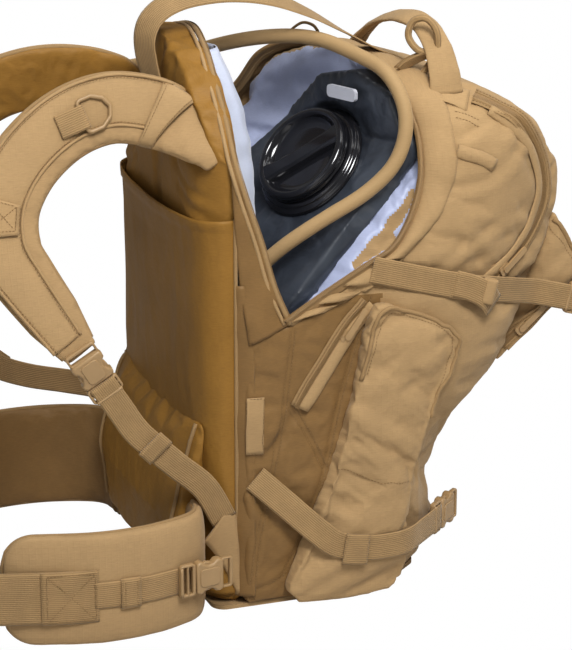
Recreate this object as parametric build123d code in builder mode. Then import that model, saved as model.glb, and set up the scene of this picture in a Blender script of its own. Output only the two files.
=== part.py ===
from build123d import *
import math
import os

# Opened hunting backpack with a hydration compartment.
# Millimetres, +Z up.  -Y is the wearer's side, +Y the front pocket, +X the wearer's left.
# The origin is the centre of the flat base.

os.makedirs("parts", exist_ok=True)

# ---------------------------------------------------------------- driving dimensions
gap = 0.5                       # clearance between sewn pieces
half_width = 150                # main compartment, half of its width
base_thick = 4
panel_back = -130               # wearer's face of the back panel
panel_front = -97               # inner face of the back panel
pocket_floor = 60               # bottom of the hydration sleeve
sleeve_half = 133               # half width of the hydration sleeve
web_thick = 1.8                 # webbing
web_1in = 25.4
web_2in = 50.8
pad_thick = 14                  # shoulder strap pad
strap_width = 62
wing_thick = 16
wing_low = 5
wing_high = 110
hose_d = 15
cap_r = 50
zip_width = 9
zip_thick = 2.2

# The rear wall of the main compartment leans forward and turns towards the left side,
# then stands upright under the arched top.
lean = Plane(origin=(40, 54, 415), z_dir=(0.28, -0.73, 0.62))
upright = Plane(origin=(0, 48, 0), z_dir=(0.339, -0.941, 0))


def save(part, name):
    part.label = name
    export_step(part, f"parts/{name}.step")


def prism(plane, outline, start, end):
    """A closed outline in a plane, extruded between two offsets from that plane."""
    with BuildPart() as block:
        with BuildSketch(plane.offset(start)):
            with BuildLine():
                Polyline(*outline, close=True)
            make_face()
        extrude(amount=end - start)
    return block.part


def band(plane, path, corner, thickness, width):
    """A strip whose edge-on line lies in a plane and whose width is square to it."""
    with BuildPart() as strip:
        with BuildSketch(plane):
            with BuildLine():
                FilletPolyline(*path, radius=corner)
            trace(line_width=thickness)
        extrude(amount=width / 2, both=True)
    return strip.part


def ribbon(plane, path, corner, width, thickness):
    """A strip that lies flat in a plane."""
    with BuildPart() as strip:
        with BuildSketch(plane):
            with BuildLine():
                FilletPolyline(*path, radius=corner)
            trace(line_width=width)
        extrude(amount=thickness / 2, both=True)
    return strip.part


def half_turned(outline):
    """An outline given for +X, closed by its mirror image for -X."""
    return outline + [(-x, z) for x, z in reversed(outline) if x > 0]


def mouth_space(inset):
    """The space in front of the leaning and the upright wall, drawn in by an inset."""
    with BuildPart() as space:
        with BuildSketch(lean.offset(inset)):
            Rectangle(1200, 1200)
        extrude(amount=600)
        with BuildSketch(upright.offset(inset)):
            Rectangle(1200, 1600)
        extrude(amount=600, mode=Mode.INTERSECT)
    return space.part


# ---------------------------------------------------------------- bag
with BuildPart() as base_panel:
    with BuildSketch():
        with BuildLine():
            Polyline((-144, -126), (144, -126), (144, 42), (96, 97), (-96, 97), (-144, 42), close=True)
        make_face()
        fillet(vertices(), radius=14)
    extrude(amount=base_thick)
save(base_panel.part, "base_panel")

side_outline = [
    (panel_front, base_thick + gap), (98, base_thick + gap), (127, 50), (160, 150), (234, 345),
    (240, 395), (210, 440), (156, 468), (119, 479), (58, 499), (0, 506), (panel_front, 506),
]
arch_outline = half_turned([(150, 0), (150, 330), (142, 400), (124, 450), (94, 480), (50, 496), (0, 503)])
plan_outline = [
    (-half_width, panel_front), (half_width, panel_front), (half_width, 120), (105, 235), (80, 250),
    (-80, 250), (-105, 235), (-half_width, 120),
]
near_lip = [(-110, 278), (-53, 278), (29, 326), (55, 340), (82, 379), (90, 415), (96, 560), (-110, 560)]
far_lip = [(-110, 335), (-80, 350), (-45, 395), (-6, 442), (2, 560), (-110, 560)]

with BuildPart() as main_compartment:
    with BuildSketch(Plane.YZ.offset(-half_width)):
        with BuildLine():
            Polyline(*side_outline, close=True)
        make_face()
    extrude(amount=2 * half_width)
    with BuildSketch():
        with BuildLine():
            Polyline(*plan_outline, close=True)
        make_face()
    extrude(amount=600, mode=Mode.INTERSECT)
    with BuildSketch(Plane.XZ.offset(200)):
        with BuildLine():
            Polyline(*arch_outline, close=True)
        make_face()
    extrude(amount=-600, mode=Mode.INTERSECT)
    with BuildSketch(Plane.XY.offset(pocket_floor)):
        with Locations((0, (panel_front - 60) / 2)):
            Rectangle(2 * sleeve_half, -60 - panel_front)
    extrude(amount=262, mode=Mode.SUBTRACT)
    sleeve = prism(Plane.XY, [(-sleeve_half, panel_front), (sleeve_half, panel_front),
                              (sleeve_half, 200), (-sleeve_half, 200)], pocket_floor, 600)
    add(mouth_space(0) & sleeve, mode=Mode.SUBTRACT)
    add(prism(Plane.YZ, near_lip, sleeve_half - 1, 200), mode=Mode.SUBTRACT)
    add(prism(Plane.YZ, far_lip, -200, 1 - sleeve_half), mode=Mode.SUBTRACT)
    for sign in (1, -1):                                          # tapered lower front corners
        with BuildSketch(Plane(origin=(120 * sign, 92, 55), z_dir=(0.745 * sign, 0.667, -0.30))):
            Rectangle(500, 500)
        extrude(amount=120, mode=Mode.SUBTRACT)
save(main_compartment.part, "main_compartment")

with BuildPart() as front_pocket:
    with BuildSketch(Plane.YZ.offset(-97)):
        with BuildLine():
            Polyline((179.5, 198), (254, 264), (268, 279), (268, 292), (262, 306), (237, 345), close=True)
        make_face()
    extrude(amount=194)
save(front_pocket.part, "front_pocket")

pouch_outline = [
    (25, 298), (120, 255), (106, 224), (92, 198), (78, 154), (65, 116), (61, 79), (60, 20), (44, 6),
    (-48, 6), (-60, 20), (-38, 75), (-12, 140), (10, 220),
]
pouch_depth = 16
for side, x in (("left", half_width + gap), ("right", -half_width - gap - pouch_depth)):
    save(prism(Plane.YZ, pouch_outline, x, x + pouch_depth), f"side_pouch_{side}")

# ---------------------------------------------------------------- back panel
panel_outline = [
    (138, 4.5), (138, 430), (116, 474), (92, 498), (48, 521), (0, 533), (-46, 530), (-62, 518),
    (-68, 472), (-104, 456), (-138, 415), (-138, 4.5),
]
with BuildPart() as back_panel:
    with BuildSketch(Plane.XZ.offset(-panel_back)):
        with BuildLine():
            Polyline(*panel_outline, close=True)
        make_face()
    extrude(amount=panel_back - panel_front + gap)
    with BuildSketch(Plane.XZ.offset(-panel_front - gap)):       # pocket for the frame sheet
        with Locations((0, 230)):
            Rectangle(230, 380)
    extrude(amount=7, mode=Mode.SUBTRACT)
save(back_panel.part, "back_panel")

with BuildPart() as frame_sheet:
    with BuildSketch(Plane.XZ.offset(-panel_front + 1)):
        with Locations((0, 230)):
            RectangleRounded(224, 374, 25)
    extrude(amount=2)
save(frame_sheet.part, "frame_sheet")

with BuildPart() as frame_stays:
    with BuildSketch(Plane.XZ.offset(-panel_front + 3.3)):
        with Locations((-55, 230), (55, 230)):
            RectangleRounded(19, 360, 9)
    extrude(amount=3)
save(frame_stays.part, "frame_stays")

# padded liner that swells into the open mouth on the left
bulge = [(134, -96.5), (95, -68), (55, -62), (0, -77), (-60, -92), (-128, -96.5)]
save(prism(Plane.XY, bulge, 326, 462), "panel_liner")

with BuildPart() as panel_sleeve:
    with BuildSketch(Plane.XZ.offset(-panel_back + gap)):
        with Locations((0, 284)):
            RectangleRounded(208, 196, 12)
    extrude(amount=3)
save(panel_sleeve.part, "panel_sleeve")

lumbar_outline = [(-130.5, 16), (-158, 22), (-160, 84), (-150, 130), (-137, 182), (-130.5, 182)]
with BuildPart() as lumbar_pad:
    with BuildSketch(Plane.YZ.offset(-118)):
        with BuildLine():
            Polyline(*lumbar_outline, close=True)
        make_face()
    extrude(amount=236)
save(lumbar_pad.part, "lumbar_pad")

# ---------------------------------------------------------------- reservoir
liner_outline = half_turned([(130, 66), (130, 395), (112, 440), (85, 468), (45, 484), (0, 490)])
with BuildPart() as mouth_liner:
    add(mouth_space(0.3))
    add(mouth_space(1.5), mode=Mode.SUBTRACT)
    with BuildSketch(Plane.XZ.offset(60)):
        with BuildLine():
            Polyline(*liner_outline, close=True)
        make_face()
    extrude(amount=-200, mode=Mode.INTERSECT)
save(mouth_liner.part, "mouth_liner")

bladder_outline = [
    (-62, 90), (-40, 66), (100, 66), (122, 90), (126, 300), (122, 430), (98, 476), (50, 491),
    (2, 480), (-40, 438), (-62, 380),
]
bladder_back = 2
bladder_front = 20
cap_normal = Vector(0.28, -0.73, 0.62).normalized()
cap_seat = Vector(40, -3, 413) - cap_normal * 20.1
cap_plane = Plane(origin=cap_seat, x_dir=(0.518, 0.66, 0.544), z_dir=cap_normal)
ring_high = 9
with BuildPart() as reservoir_bladder:
    add(mouth_space(bladder_back))
    add(mouth_space(bladder_front), mode=Mode.SUBTRACT)
    with BuildSketch(Plane.XZ.offset(79)):
        with BuildLine():
            Polyline(*bladder_outline, close=True)
        make_face()
    extrude(amount=-220, mode=Mode.INTERSECT)
    with BuildSketch(Plane.XZ.offset(79)):
        with BuildLine():
            Polyline((-62, 90), (-40, 66), (100, 66), (122, 90), (122, 240), (-62, 275), close=True)
        make_face()
    extrude(amount=-16)
    with BuildSketch(cap_plane.offset(-0.3)):                    # seat of the fill ring
        Circle(cap_r + 9.5)
    extrude(amount=60, mode=Mode.SUBTRACT)
save(reservoir_bladder.part, "reservoir_bladder")

with BuildPart() as fill_ring:
    with BuildSketch(cap_plane):
        Circle(cap_r + 9)
        Circle(cap_r - 10, mode=Mode.SUBTRACT)
    extrude(amount=2)
    with BuildSketch(cap_plane.offset(2)):
        Circle(cap_r + 4)
        Circle(cap_r - 10, mode=Mode.SUBTRACT)
    extrude(amount=ring_high - 2)
save(fill_ring.part, "fill_ring")

with BuildPart() as reservoir_cap:
    with BuildSketch(cap_plane.offset(1)):
        Circle(cap_r - 10.5)
    extrude(amount=ring_high)
    with BuildSketch(cap_plane.offset(ring_high + 0.4)):
        Circle(cap_r)
    extrude(amount=12)
    with BuildSketch(cap_plane.offset(ring_high + 13)):          # dished top
        Circle(cap_r - 7)
    extrude(amount=-12, mode=Mode.SUBTRACT)
    with BuildSketch(cap_plane.offset(ring_high + 1)):           # grip bar across the dish
        RectangleRounded(2 * (cap_r - 6), 24, 8)
    extrude(amount=10)
save(reservoir_cap.part, "reservoir_cap")

with BuildPart() as exit_port:
    with BuildSketch(Plane.XZ.offset(79.3)):
        with Locations((62, 160)):
            Circle(11)
    extrude(amount=16)
    with BuildSketch(Plane(origin=(62, -87.5, 160))):
        Circle(7.5)
    extrude(amount=17.5)
save(exit_port.part, "exit_port")

clip_plane = Plane(origin=(52, 37, 470), x_dir=(0.941, 0.339, 0), z_dir=(0.339, -0.941, 0))
with BuildPart() as hanger_clip:
    with BuildSketch(clip_plane):
        RectangleRounded(40, 12, 4)
    extrude(amount=4)
save(hanger_clip.part, "hanger_clip")

# ---------------------------------------------------------------- drinking tube
# Chosen by hand from the exit port, out of the mouth, over the top and along the right strap.
tube_route = [
    (62, -88, 178), (63, -88.5, 238), (82, -87, 288), (104, -54, 334), (122, -4, 368), (135, 38, 390),
    (141, 72, 420), (136, 83, 464), (106, 72, 500), (70, 48, 512), (24, 16, 529), (-26, -38, 522),
    (-84, -94, 492),
    (-144, -148, 466), (-144, -208, 476), (-145, -266, 463), (-150, -314, 424), (-166, -338, 372),
]


def arc_radii(route):
    """Each arc is 0.45 of the shorter run, divided by the tangent of half the turn."""
    radii = []
    for before, point, after in zip(route, route[1:], route[2:]):
        first = Vector(point) - Vector(before)
        second = Vector(after) - Vector(point)
        turn = math.radians(first.get_angle(second))
        radii.append(0.45 * min(first.length, second.length) / math.tan(turn / 2))
    return radii


tube_radii = arc_radii(tube_route)
print("tube arc radii", [round(r) for r in tube_radii])
print("tube runs", [round((Vector(b) - Vector(a)).length) for a, b in zip(tube_route, tube_route[1:])])
with BuildPart() as drink_tube:
    with BuildLine():
        tube_path = FilletPolyline(*tube_route, radius=tube_radii)
    with BuildSketch(Plane(origin=tube_path @ 0, z_dir=tube_path % 0)):
        Circle(hose_d / 2)
    sweep(path=tube_path)
tube_length = tube_path.length
print("tube length", round(tube_length), "volume", round(drink_tube.part.volume),
      "section x length", round(math.pi * (hose_d / 2) ** 2 * tube_length))
save(drink_tube.part, "drink_tube")

valve_plane = Plane(origin=tube_path @ 1, z_dir=tube_path % 1)
with BuildPart() as bite_valve:
    with BuildSketch(valve_plane):
        Circle(hose_d / 2 + 1)
    extrude(amount=22)
    with BuildSketch(valve_plane.offset(22)):
        Ellipse(8, 6)
    extrude(amount=26)
save(bite_valve.part, "bite_valve")

with BuildPart() as valve_lever:
    with BuildSketch(Plane(origin=valve_plane.origin + valve_plane.z_dir * 11 + valve_plane.x_dir * 9,
                           z_dir=valve_plane.x_dir, x_dir=valve_plane.z_dir)):
        SlotCenterToCenter(14, 8)
    extrude(amount=3)
    with BuildSketch(faces().sort_by(Axis(valve_plane.origin, valve_plane.x_dir))[-1]):    # pivot head
        Circle(2.5)
    extrude(amount=1)
save(valve_lever.part, "valve_lever")
print("valve", valve_plane.origin, valve_plane.z_dir, valve_plane.x_dir)

# ---------------------------------------------------------------- handles
carry_path = [(-136, 470), (-137, 530), (-100, 560), (-24, 559), (48, 523), (92, 499), (112, 487)]
save(band(Plane.YZ.offset(22), carry_path, 14, web_thick, web_1in), "carry_handle")
haul_plane = Plane(origin=(24, 106, 0), x_dir=(0.98, 0.19, 0), z_dir=(0.19, -0.98, 0))
haul_path = [(-84, 497), (-52, 517), (-14, 533), (30, 534), (62, 518), (80, 478)]
save(band(haul_plane, haul_path, 12, 4, 30), "haul_handle")

# ---------------------------------------------------------------- buckles
buckle_wide = 32
buckle_high = 11
socket_long = 28


def buckle_socket(origin, out, face):
    """The female half: its mouth is at the origin and the plug comes out along `out`."""
    along = Plane(origin=origin, x_dir=out, z_dir=face)
    mouth = Plane(origin=origin, x_dir=along.y_dir, z_dir=along.x_dir)
    with BuildPart() as socket:
        with BuildSketch(mouth.offset(-socket_long)):
            RectangleRounded(buckle_wide, buckle_high, 4)
        extrude(amount=socket_long)
        with BuildSketch(mouth):
            Rectangle(27, 6.6)
        extrude(amount=-23, mode=Mode.SUBTRACT)
        with BuildSketch(along):                                  # side windows for the prongs
            with Locations((-14, 0)):
                Rectangle(11, buckle_wide + 2)
        extrude(amount=2.6, both=True, mode=Mode.SUBTRACT)
    return socket.part


def buckle_plug(origin, out, face):
    """The male half: two prongs, a tongue, and a loop that the webbing runs through."""
    along = Plane(origin=origin, x_dir=out, z_dir=face)
    with BuildPart() as plug:
        with BuildSketch(along):
            for flip in (1, -1):
                with BuildLine():
                    Polyline((1, 6 * flip), (-19, 9 * flip), (-17, 12 * flip), (-9, 13.2 * flip),
                             (-9, 11 * flip), (1, 11 * flip), close=True)
                make_face()
            with Locations((-7, 0)):
                Rectangle(16, 4)
        extrude(amount=2.3, both=True)
        with BuildSketch(along.offset(-4)):
            with Locations((8.5, 0)):
                RectangleRounded(15.4, buckle_wide, 3)
        extrude(amount=11.5)
        with BuildSketch(along.offset(3.1)):
            with Locations((8.5, 0)):
                Rectangle(20, web_1in + 1.8)
        extrude(amount=3, mode=Mode.SUBTRACT)
        with BuildSketch(along.offset(3)):                        # open window over the webbing
            with Locations((8.5, 0)):
                Rectangle(6, web_1in + 1.8)
        extrude(amount=6, mode=Mode.SUBTRACT)
    return plug.part


sides = (("left", 1), ("right", -1))
web_rise = 4.6                  # webbing above the middle of a buckle

# ---------------------------------------------------------------- shoulder straps
strap_paths = {
    "left": (152, 271, 0.30, 1,
             [(-138, 466), (-156, 466), (-200, 483), (-258, 464), (-306, 420), (-318, 372), (-252, 272)]),
    "right": (-140, 270, -0.24, -1,
              [(-138, 460), (-156, 460), (-204, 478), (-264, 470), (-314, 434), (-330, 382), (-306, 274)]),
}
strap_ends = {
    "left": ((156, -237, 246), (-0.089, 0.528, -0.845), (1, 0, -0.105)),
    "right": ((-143, -298, 242), (-0.06, 0.30, -0.952), (-1, 0, 0.063)),
}
lower_webs = {
    "left": [(3, 0), (62, 0), (118, 14), (154, 24), (196, 20)],
    "right": [(3, 0), (62, 0), (98, 16), (149, 115), (196, 130)],
}
sockets = []
loops = []
for side, sign in sides:
    x0, z0, lean_in, outer_side, path = strap_paths[side]
    stretch = math.sqrt(1 + lean_in ** 2)
    strap_plane = Plane(origin=(x0, 0, z0), x_dir=(0, 1, 0), z_dir=(1, 0, lean_in))
    flat_path = [(y, (z - z0) * stretch) for y, z in path]
    save(ribbon(strap_plane, flat_path, 38, strap_width, pad_thick), f"shoulder_strap_{side}")

    # D-ring in its webbing loop, on the outer face of the strap
    crest, fall = Vector(*flat_path[2]), Vector(*flat_path[3])
    back = (crest - fall).normalized()
    lift = (pad_thick / 2 + 4.2) * outer_side
    ring_seat = strap_plane.from_local_coords(crest - back * 34 + Vector(0, 0, lift))
    ring_back = strap_plane.from_local_coords(crest) - strap_plane.from_local_coords(crest - back)
    ring_plane = Plane(origin=ring_seat, x_dir=ring_back, z_dir=strap_plane.z_dir * outer_side)
    print(f"d_ring_{side}", ring_seat, "back", ring_back, "axis", ring_plane.y_dir * -1, "face", ring_plane.z_dir)
    with BuildPart() as d_ring:
        with BuildLine(ring_plane):
            ring_path = FilletPolyline((0, -15), (0, 15), (14, 15), (24, 9), (28, 0), (24, -9), (14, -15),
                                       close=True, radius=4)
        with BuildSketch(Plane(origin=ring_path @ 0, z_dir=ring_path % 0)):
            Circle(2)
        sweep(path=ring_path)
    save(d_ring.part, f"d_ring_{side}")
    with BuildPart() as ring_loop:
        with BuildSketch(Plane(origin=ring_seat, x_dir=ring_back, z_dir=ring_plane.y_dir)):
            with Locations((-2, 0)):
                Rectangle(12, 7)
            Circle(2.6, mode=Mode.SUBTRACT)
        extrude(amount=9, both=True)
    loops.append(ring_loop.part)
    origin, out, face = strap_ends[side]
    sockets.append(buckle_socket(origin, out, face))
    save(buckle_plug(origin, out, face), f"shoulder_plug_{side}")
    web_plane = Plane(origin=origin, x_dir=out, z_dir=face).offset(web_rise)
    web_sign = web_plane.y_dir.Y
    web_path = [(along, across * math.copysign(1, web_sign)) for along, across in lower_webs[side]]
    save(ribbon(web_plane, web_path, 26, web_1in, web_thick), f"adjuster_web_{side}")

# ---------------------------------------------------------------- hip belt
wing_path = [(122, -143), (166, -155), (182, -240), (160, -332)]
tab_outline = [(-128, 74), (-108, 92), (-99, 92), (-99, 24), (-104, 24)]
belt_path = [(187.6, -258), (170.2, -331), (150, -368), (124, -368)]
belt_height = 54
tabs = []
for side, sign in sides:
    flipped = [(x * sign, y) for x, y in wing_path]
    wing_mid = Plane.XY.offset((wing_low + wing_high) / 2)
    save(band(wing_mid, flipped, 24, wing_thick, wing_high - wing_low), f"hip_wing_{side}")
    belt_mid = Plane.XY.offset(belt_height)
    flipped = [(x * sign, y) for x, y in belt_path]
    save(band(belt_mid, flipped, 16, web_thick, web_2in), f"belt_web_{side}")
    near_face, far_face = sorted((138.6 * sign, 141.6 * sign))
    tabs.append(prism(Plane.YZ, tab_outline, near_face, far_face))

    # stabiliser buckle and its webbing along the outside of the wing
    mouth = (182.5 * sign, -158, belt_height)
    out = (0.185 * sign, -0.983, 0)
    face = (0.983 * sign, 0.185, 0)
    save(buckle_socket(mouth, out, face), f"stabiliser_socket_{side}")
    save(buckle_plug(mouth, out, face), f"stabiliser_plug_{side}")
    web_plane = Plane(origin=mouth, x_dir=out, z_dir=face).offset(web_rise)
    save(ribbon(web_plane, [(3, 0), (50, 0), (92, 0.5)], 400, web_1in, web_thick), f"stabiliser_web_{side}")

for side, sign in sides:
    belt_end = Plane(origin=(123.4 * sign, -368, belt_height), x_dir=(0, 0, 1), z_dir=(-sign, 0, 0))
    with BuildPart() as waist_half:
        with BuildSketch(belt_end.offset(1)):
            RectangleRounded(60, 12, 4)
        extrude(amount=24 if sign > 0 else 12)
        if sign > 0:
            with BuildSketch(belt_end.offset(25)):
                Rectangle(48, 6.6)
            extrude(amount=-20, mode=Mode.SUBTRACT)
        else:
            with BuildSketch(belt_end.offset(13)):
                with Locations((-19, 0), (19, 0), (0, 0)):
                    RectangleRounded(7, 5, 2)
            extrude(amount=18)
    save(waist_half.part, "waist_socket" if sign > 0 else "waist_plug")

# ---------------------------------------------------------------- compression straps
slant = (0, 0.966, -0.259)
upper_start = Vector(0, 23, 325)
upper_path = [(0, 152.4), (104, 155), (188, 124.5), (202, 114.6), (248, 114.6)]
uppers = []
lowers = []
for side, sign in sides:
    upper_plane = Plane(origin=upper_start, x_dir=slant, z_dir=(0, 0.259, 0.966))
    flipped = [(along, -x * sign) for along, x in upper_path]
    uppers.append(band(upper_plane, flipped, 8, web_thick, web_1in))
    mouth = Vector(110 * sign, 0, 0) + upper_start + Vector(*slant) * 251
    out = (0, -slant[1], -slant[2])
    sockets.append(buckle_socket(mouth, out, (sign, 0, 0)))
    save(buckle_plug(mouth, out, (sign, 0, 0)), f"upper_plug_{side}")

    # lower strap: down the side, level over the pouch, then round the tapered corner
    drop = Vector(17.5 * sign, 54, -52).normalized()
    drop_face = (Vector(sign, 0, 0) - drop * drop.dot(Vector(sign, 0, 0))).normalized()
    with BuildPart() as lower_strap:
        add(ribbon(Plane(origin=(152.6 * sign, -88, 132), x_dir=drop, z_dir=drop_face),
                   [(0, 0), (40, 0.1), (78, 0)], 200, web_1in, web_thick))
        add(ribbon(Plane.YZ.offset(170.5 * sign), [(-35, 80), (-14, 60), (18, 56)], 20, web_1in, web_thick))
        level = [(170.5 * sign, 10), (170.5 * sign, 60.3), (121.1 * sign, 115.5)]
        add(band(Plane.XY.offset(56), level, 10, web_thick, web_1in))
    lowers.append(lower_strap.part)
    mouth = (115.7 * sign, 114.7, 56)
    out = (0.667 * sign, -0.745, 0)
    face = (0.745 * sign, 0.667, 0)
    sockets.append(buckle_socket(mouth, out, face))
    save(buckle_plug(mouth, out, face), f"lower_plug_{side}")

for name, group in (("upper_straps", uppers), ("lower_straps", lowers), ("anchor_tabs", tabs),
                    ("ring_loops", loops), ("buckle_sockets", sockets)):
    save(Compound(children=group), name)

# ---------------------------------------------------------------- zippers
chains = []
for side, sign in sides:
    corner_plane = Plane(origin=(150 * sign, 120, 0), x_dir=(-0.364 * sign, 0.931, 0),
                         z_dir=(0.931 * sign, 0.364, 0)).offset(gap)
    turn = 1 if corner_plane.y_dir.Z > 0 else -1
    zip_line = [(14, 290), (43, 300), (82, 325), (107, 354), (116, 381), (112, 408)]
    flipped = [(along, z * turn) for along, z in zip_line]
    chains.append(ribbon(corner_plane.offset(zip_thick / 2), flipped, 12, zip_width, zip_thick))
    pocket_side = Plane.YZ.offset((97 + gap + zip_thick / 2) * sign)
    chains.append(ribbon(pocket_side, [(196, 224.5), (222, 247.6), (247, 269.8)], 900, zip_width, zip_thick))
side_zip = Plane.YZ.offset(half_width + gap + zip_thick / 2)
chains.append(ribbon(side_zip, [(12, 276), (-17, 235.2), (-46, 194)], 900, zip_width, zip_thick))
save(Compound(children=chains), "zipper_chains")


def zip_slider(plane, heading):
    """A slider body on top of its chain, with a pull tab lying along the chain."""
    with BuildPart() as slider:
        with BuildSketch(plane.offset(zip_thick + gap)):
            with Locations(Location((0, 0, 0), (0, 0, heading))):
                RectangleRounded(13, 10, 3)
        extrude(amount=3)
        with BuildSketch(plane.offset(zip_thick + gap + 3)):
            with Locations(Location((0, 0, 0), (0, 0, heading))):
                with Locations((-14, 0)):
                    RectangleRounded(34, 6, 2.5)
        extrude(amount=2)
    return slider.part


def at(plane, x, y):
    return Plane(origin=plane.from_local_coords((x, y, 0)), x_dir=plane.x_dir, z_dir=plane.z_dir)


left_corner = Plane(origin=(150, 120, 0), x_dir=(-0.364, 0.931, 0), z_dir=(0.931, 0.364, 0)).offset(gap)
save(zip_slider(at(left_corner, 52, 305.8), 212.7), "main_slider")
save(zip_slider(at(Plane.YZ.offset(97 + gap), 206, 233.4), 221.6), "pocket_slider")
save(zip_slider(at(Plane.YZ.offset(half_width + gap), 2, 262), 234.7), "side_slider")

# ---------------------------------------------------------------- loose strap on the right side
loose_x = -169
save(ribbon(Plane.YZ.offset(loose_x), [(-74, 266), (-92, 210), (-111, 145)], 300, web_1in, web_thick),
     "loose_strap")
save(buckle_plug((loose_x + web_rise, -117, 127), (0, 0.29, 0.957), (-1, 0, 0)), "loose_plug")
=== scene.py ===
import math

import bpy
import numpy as np
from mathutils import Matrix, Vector, noise
from mathutils.bvhtree import BVHTree
from mathutils.kdtree import KDTree


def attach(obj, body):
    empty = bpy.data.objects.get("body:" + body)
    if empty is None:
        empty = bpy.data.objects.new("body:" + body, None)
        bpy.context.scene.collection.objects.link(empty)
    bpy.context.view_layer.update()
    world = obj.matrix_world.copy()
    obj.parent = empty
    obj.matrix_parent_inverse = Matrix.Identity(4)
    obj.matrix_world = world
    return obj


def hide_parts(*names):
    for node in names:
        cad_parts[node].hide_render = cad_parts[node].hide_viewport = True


# Opened hunting backpack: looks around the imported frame.  Points are written in millimetres in the
# frame's axes (+X the wearer's left, -Y towards the wearer, +Z up) and turned to metres by mm().

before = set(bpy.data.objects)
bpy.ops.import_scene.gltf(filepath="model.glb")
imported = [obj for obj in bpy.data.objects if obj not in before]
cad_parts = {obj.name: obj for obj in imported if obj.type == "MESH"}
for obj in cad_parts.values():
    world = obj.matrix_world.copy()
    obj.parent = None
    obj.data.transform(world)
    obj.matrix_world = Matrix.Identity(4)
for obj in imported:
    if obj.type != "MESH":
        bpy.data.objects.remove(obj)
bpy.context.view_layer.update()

SIDES = (("left", 1), ("right", -1))
ONE_INCH = 25.4                     # mm, the straps' webbing
BELT_WIDTH = 0.0508                 # m, the belt's 2 inch webbing


# ---------------------------------------------------------------- vectors and paths
def mm(points):
    """Points given in millimetres, turned to metres."""
    return np.array(points, float) / 1000


def unit(vectors):
    """Vectors scaled to length 1."""
    vectors = np.asarray(vectors, float)
    return vectors / np.maximum(np.linalg.norm(vectors, axis=-1, keepdims=True), 1e-12)


def curve(points, step=4.0):
    """Evenly spaced points (m) every `step` mm on a smooth curve through points given in mm."""
    points = np.array(points, float)
    points = np.vstack([2 * points[0] - points[1], points, 2 * points[-1] - points[-2]])
    dense = []
    for a, b, c, d in zip(points, points[1:], points[2:], points[3:]):
        for t in np.arange(0, 1, 0.05):
            dense.append(0.5 * (2 * b + (c - a) * t + (2 * a - 5 * b + 4 * c - d) * t ** 2
                                + (3 * b - a - 3 * c + d) * t ** 3))
    dense.append(points[-2])
    return resample(np.array(dense), step) / 1000


def run_lengths(path):
    """The distances of a path's points along it."""
    return np.concatenate([[0], np.cumsum(np.linalg.norm(np.diff(path, axis=0), axis=1))])


def resample(path, step):
    """The path with its points `step` apart, as nearly as its length allows."""
    lengths = run_lengths(path)
    count = max(2, int(round(lengths[-1] / step)) + 1)
    return along_run(path, lengths, np.linspace(0, lengths[-1], count))


def along_run(values, run, at):
    """Rows of vectors read at distances (or one distance) along their run."""
    return np.stack([np.interp(at, run, values[:, k]) for k in range(3)], axis=-1)


def tangents(path):
    """Unit vectors along a path, one for each point."""
    return unit(np.gradient(path, axis=0))


def spread(values, count):
    """One vector repeated, or a few blended evenly, along `count` places."""
    values = np.array(values, float)
    if values.ndim == 1:
        return np.repeat(values[None, :], count, axis=0)
    return along_run(values, np.linspace(0, 1, len(values)), np.linspace(0, 1, count))


def nearest_tree(spots):
    """A KD-tree over points, which answers with their place in the row."""
    tree = KDTree(len(spots))
    for k, spot in enumerate(spots):
        tree.insert(spot, k)
    tree.balance()
    return tree


# ---------------------------------------------------------------- meshes
def add_mesh(name, verts, faces, material, uvs=None, flat=False):
    """A mesh piece from corners (m) and faces, smooth unless `flat`, with cloth coordinates if given."""
    mesh = bpy.data.meshes.new(name)
    mesh.from_pydata([tuple(v) for v in verts], [], faces)
    mesh.materials.append(material)
    if uvs is not None:
        layer = mesh.uv_layers.new(name="cloth")
        corner = np.empty(len(mesh.loops), int)
        mesh.loops.foreach_get("vertex_index", corner)
        layer.data.foreach_set("uv", np.asarray(uvs, np.float32)[corner].ravel())
    if not flat:
        mesh.polygons.foreach_set("use_smooth", [True] * len(mesh.polygons))
    mesh.update()
    piece = bpy.data.objects.new(name, mesh)
    bpy.context.scene.collection.objects.link(piece)
    return piece


def placed(piece, body, nodes=()):
    """Rides the piece on a body and what it stands for."""
    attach(piece, body)
    if nodes:
        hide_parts(*nodes)
    return piece


def grid_faces(rows, columns, wrap_columns=False):
    """Four-sided faces over rows of corners; `wrap_columns` closes each row into a ring."""
    faces = []
    for i in range(rows - 1):
        for j in range(columns if wrap_columns else columns - 1):
            a = i * columns + j
            b = i * columns + (j + 1) % columns
            faces.append((a, b, b + columns, a + columns))
    return faces


def end_caps(count, ring):
    """The first and last faces of a sweep of `count` rings."""
    last = (count - 1) * ring
    return [tuple(range(ring))[::-1], tuple(last + k for k in range(ring))]


def extrude_section(name, path, across, section, material):
    """Sweeps a closed section of (across, out) offsets along a path, with metre UVs."""
    count = len(path)
    along = tangents(path)
    across = unit(across - (across * along).sum(1, keepdims=True) * along)
    out = np.cross(along, across)
    section = np.asarray(section, float)
    verts = (path[:, None, :] + section[None, :, :1] * across[:, None, :]
             + section[None, :, 1:2] * out[:, None, :])
    run = run_lengths(path)
    uvs = np.stack(np.broadcast_arrays(run[:, None], section[None, :, 0]), axis=2)
    faces = grid_faces(count, len(section), wrap_columns=True) + end_caps(count, len(section))
    return add_mesh(name, verts.reshape(-1, 3), faces, material, uvs.reshape(-1, 2))


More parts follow.
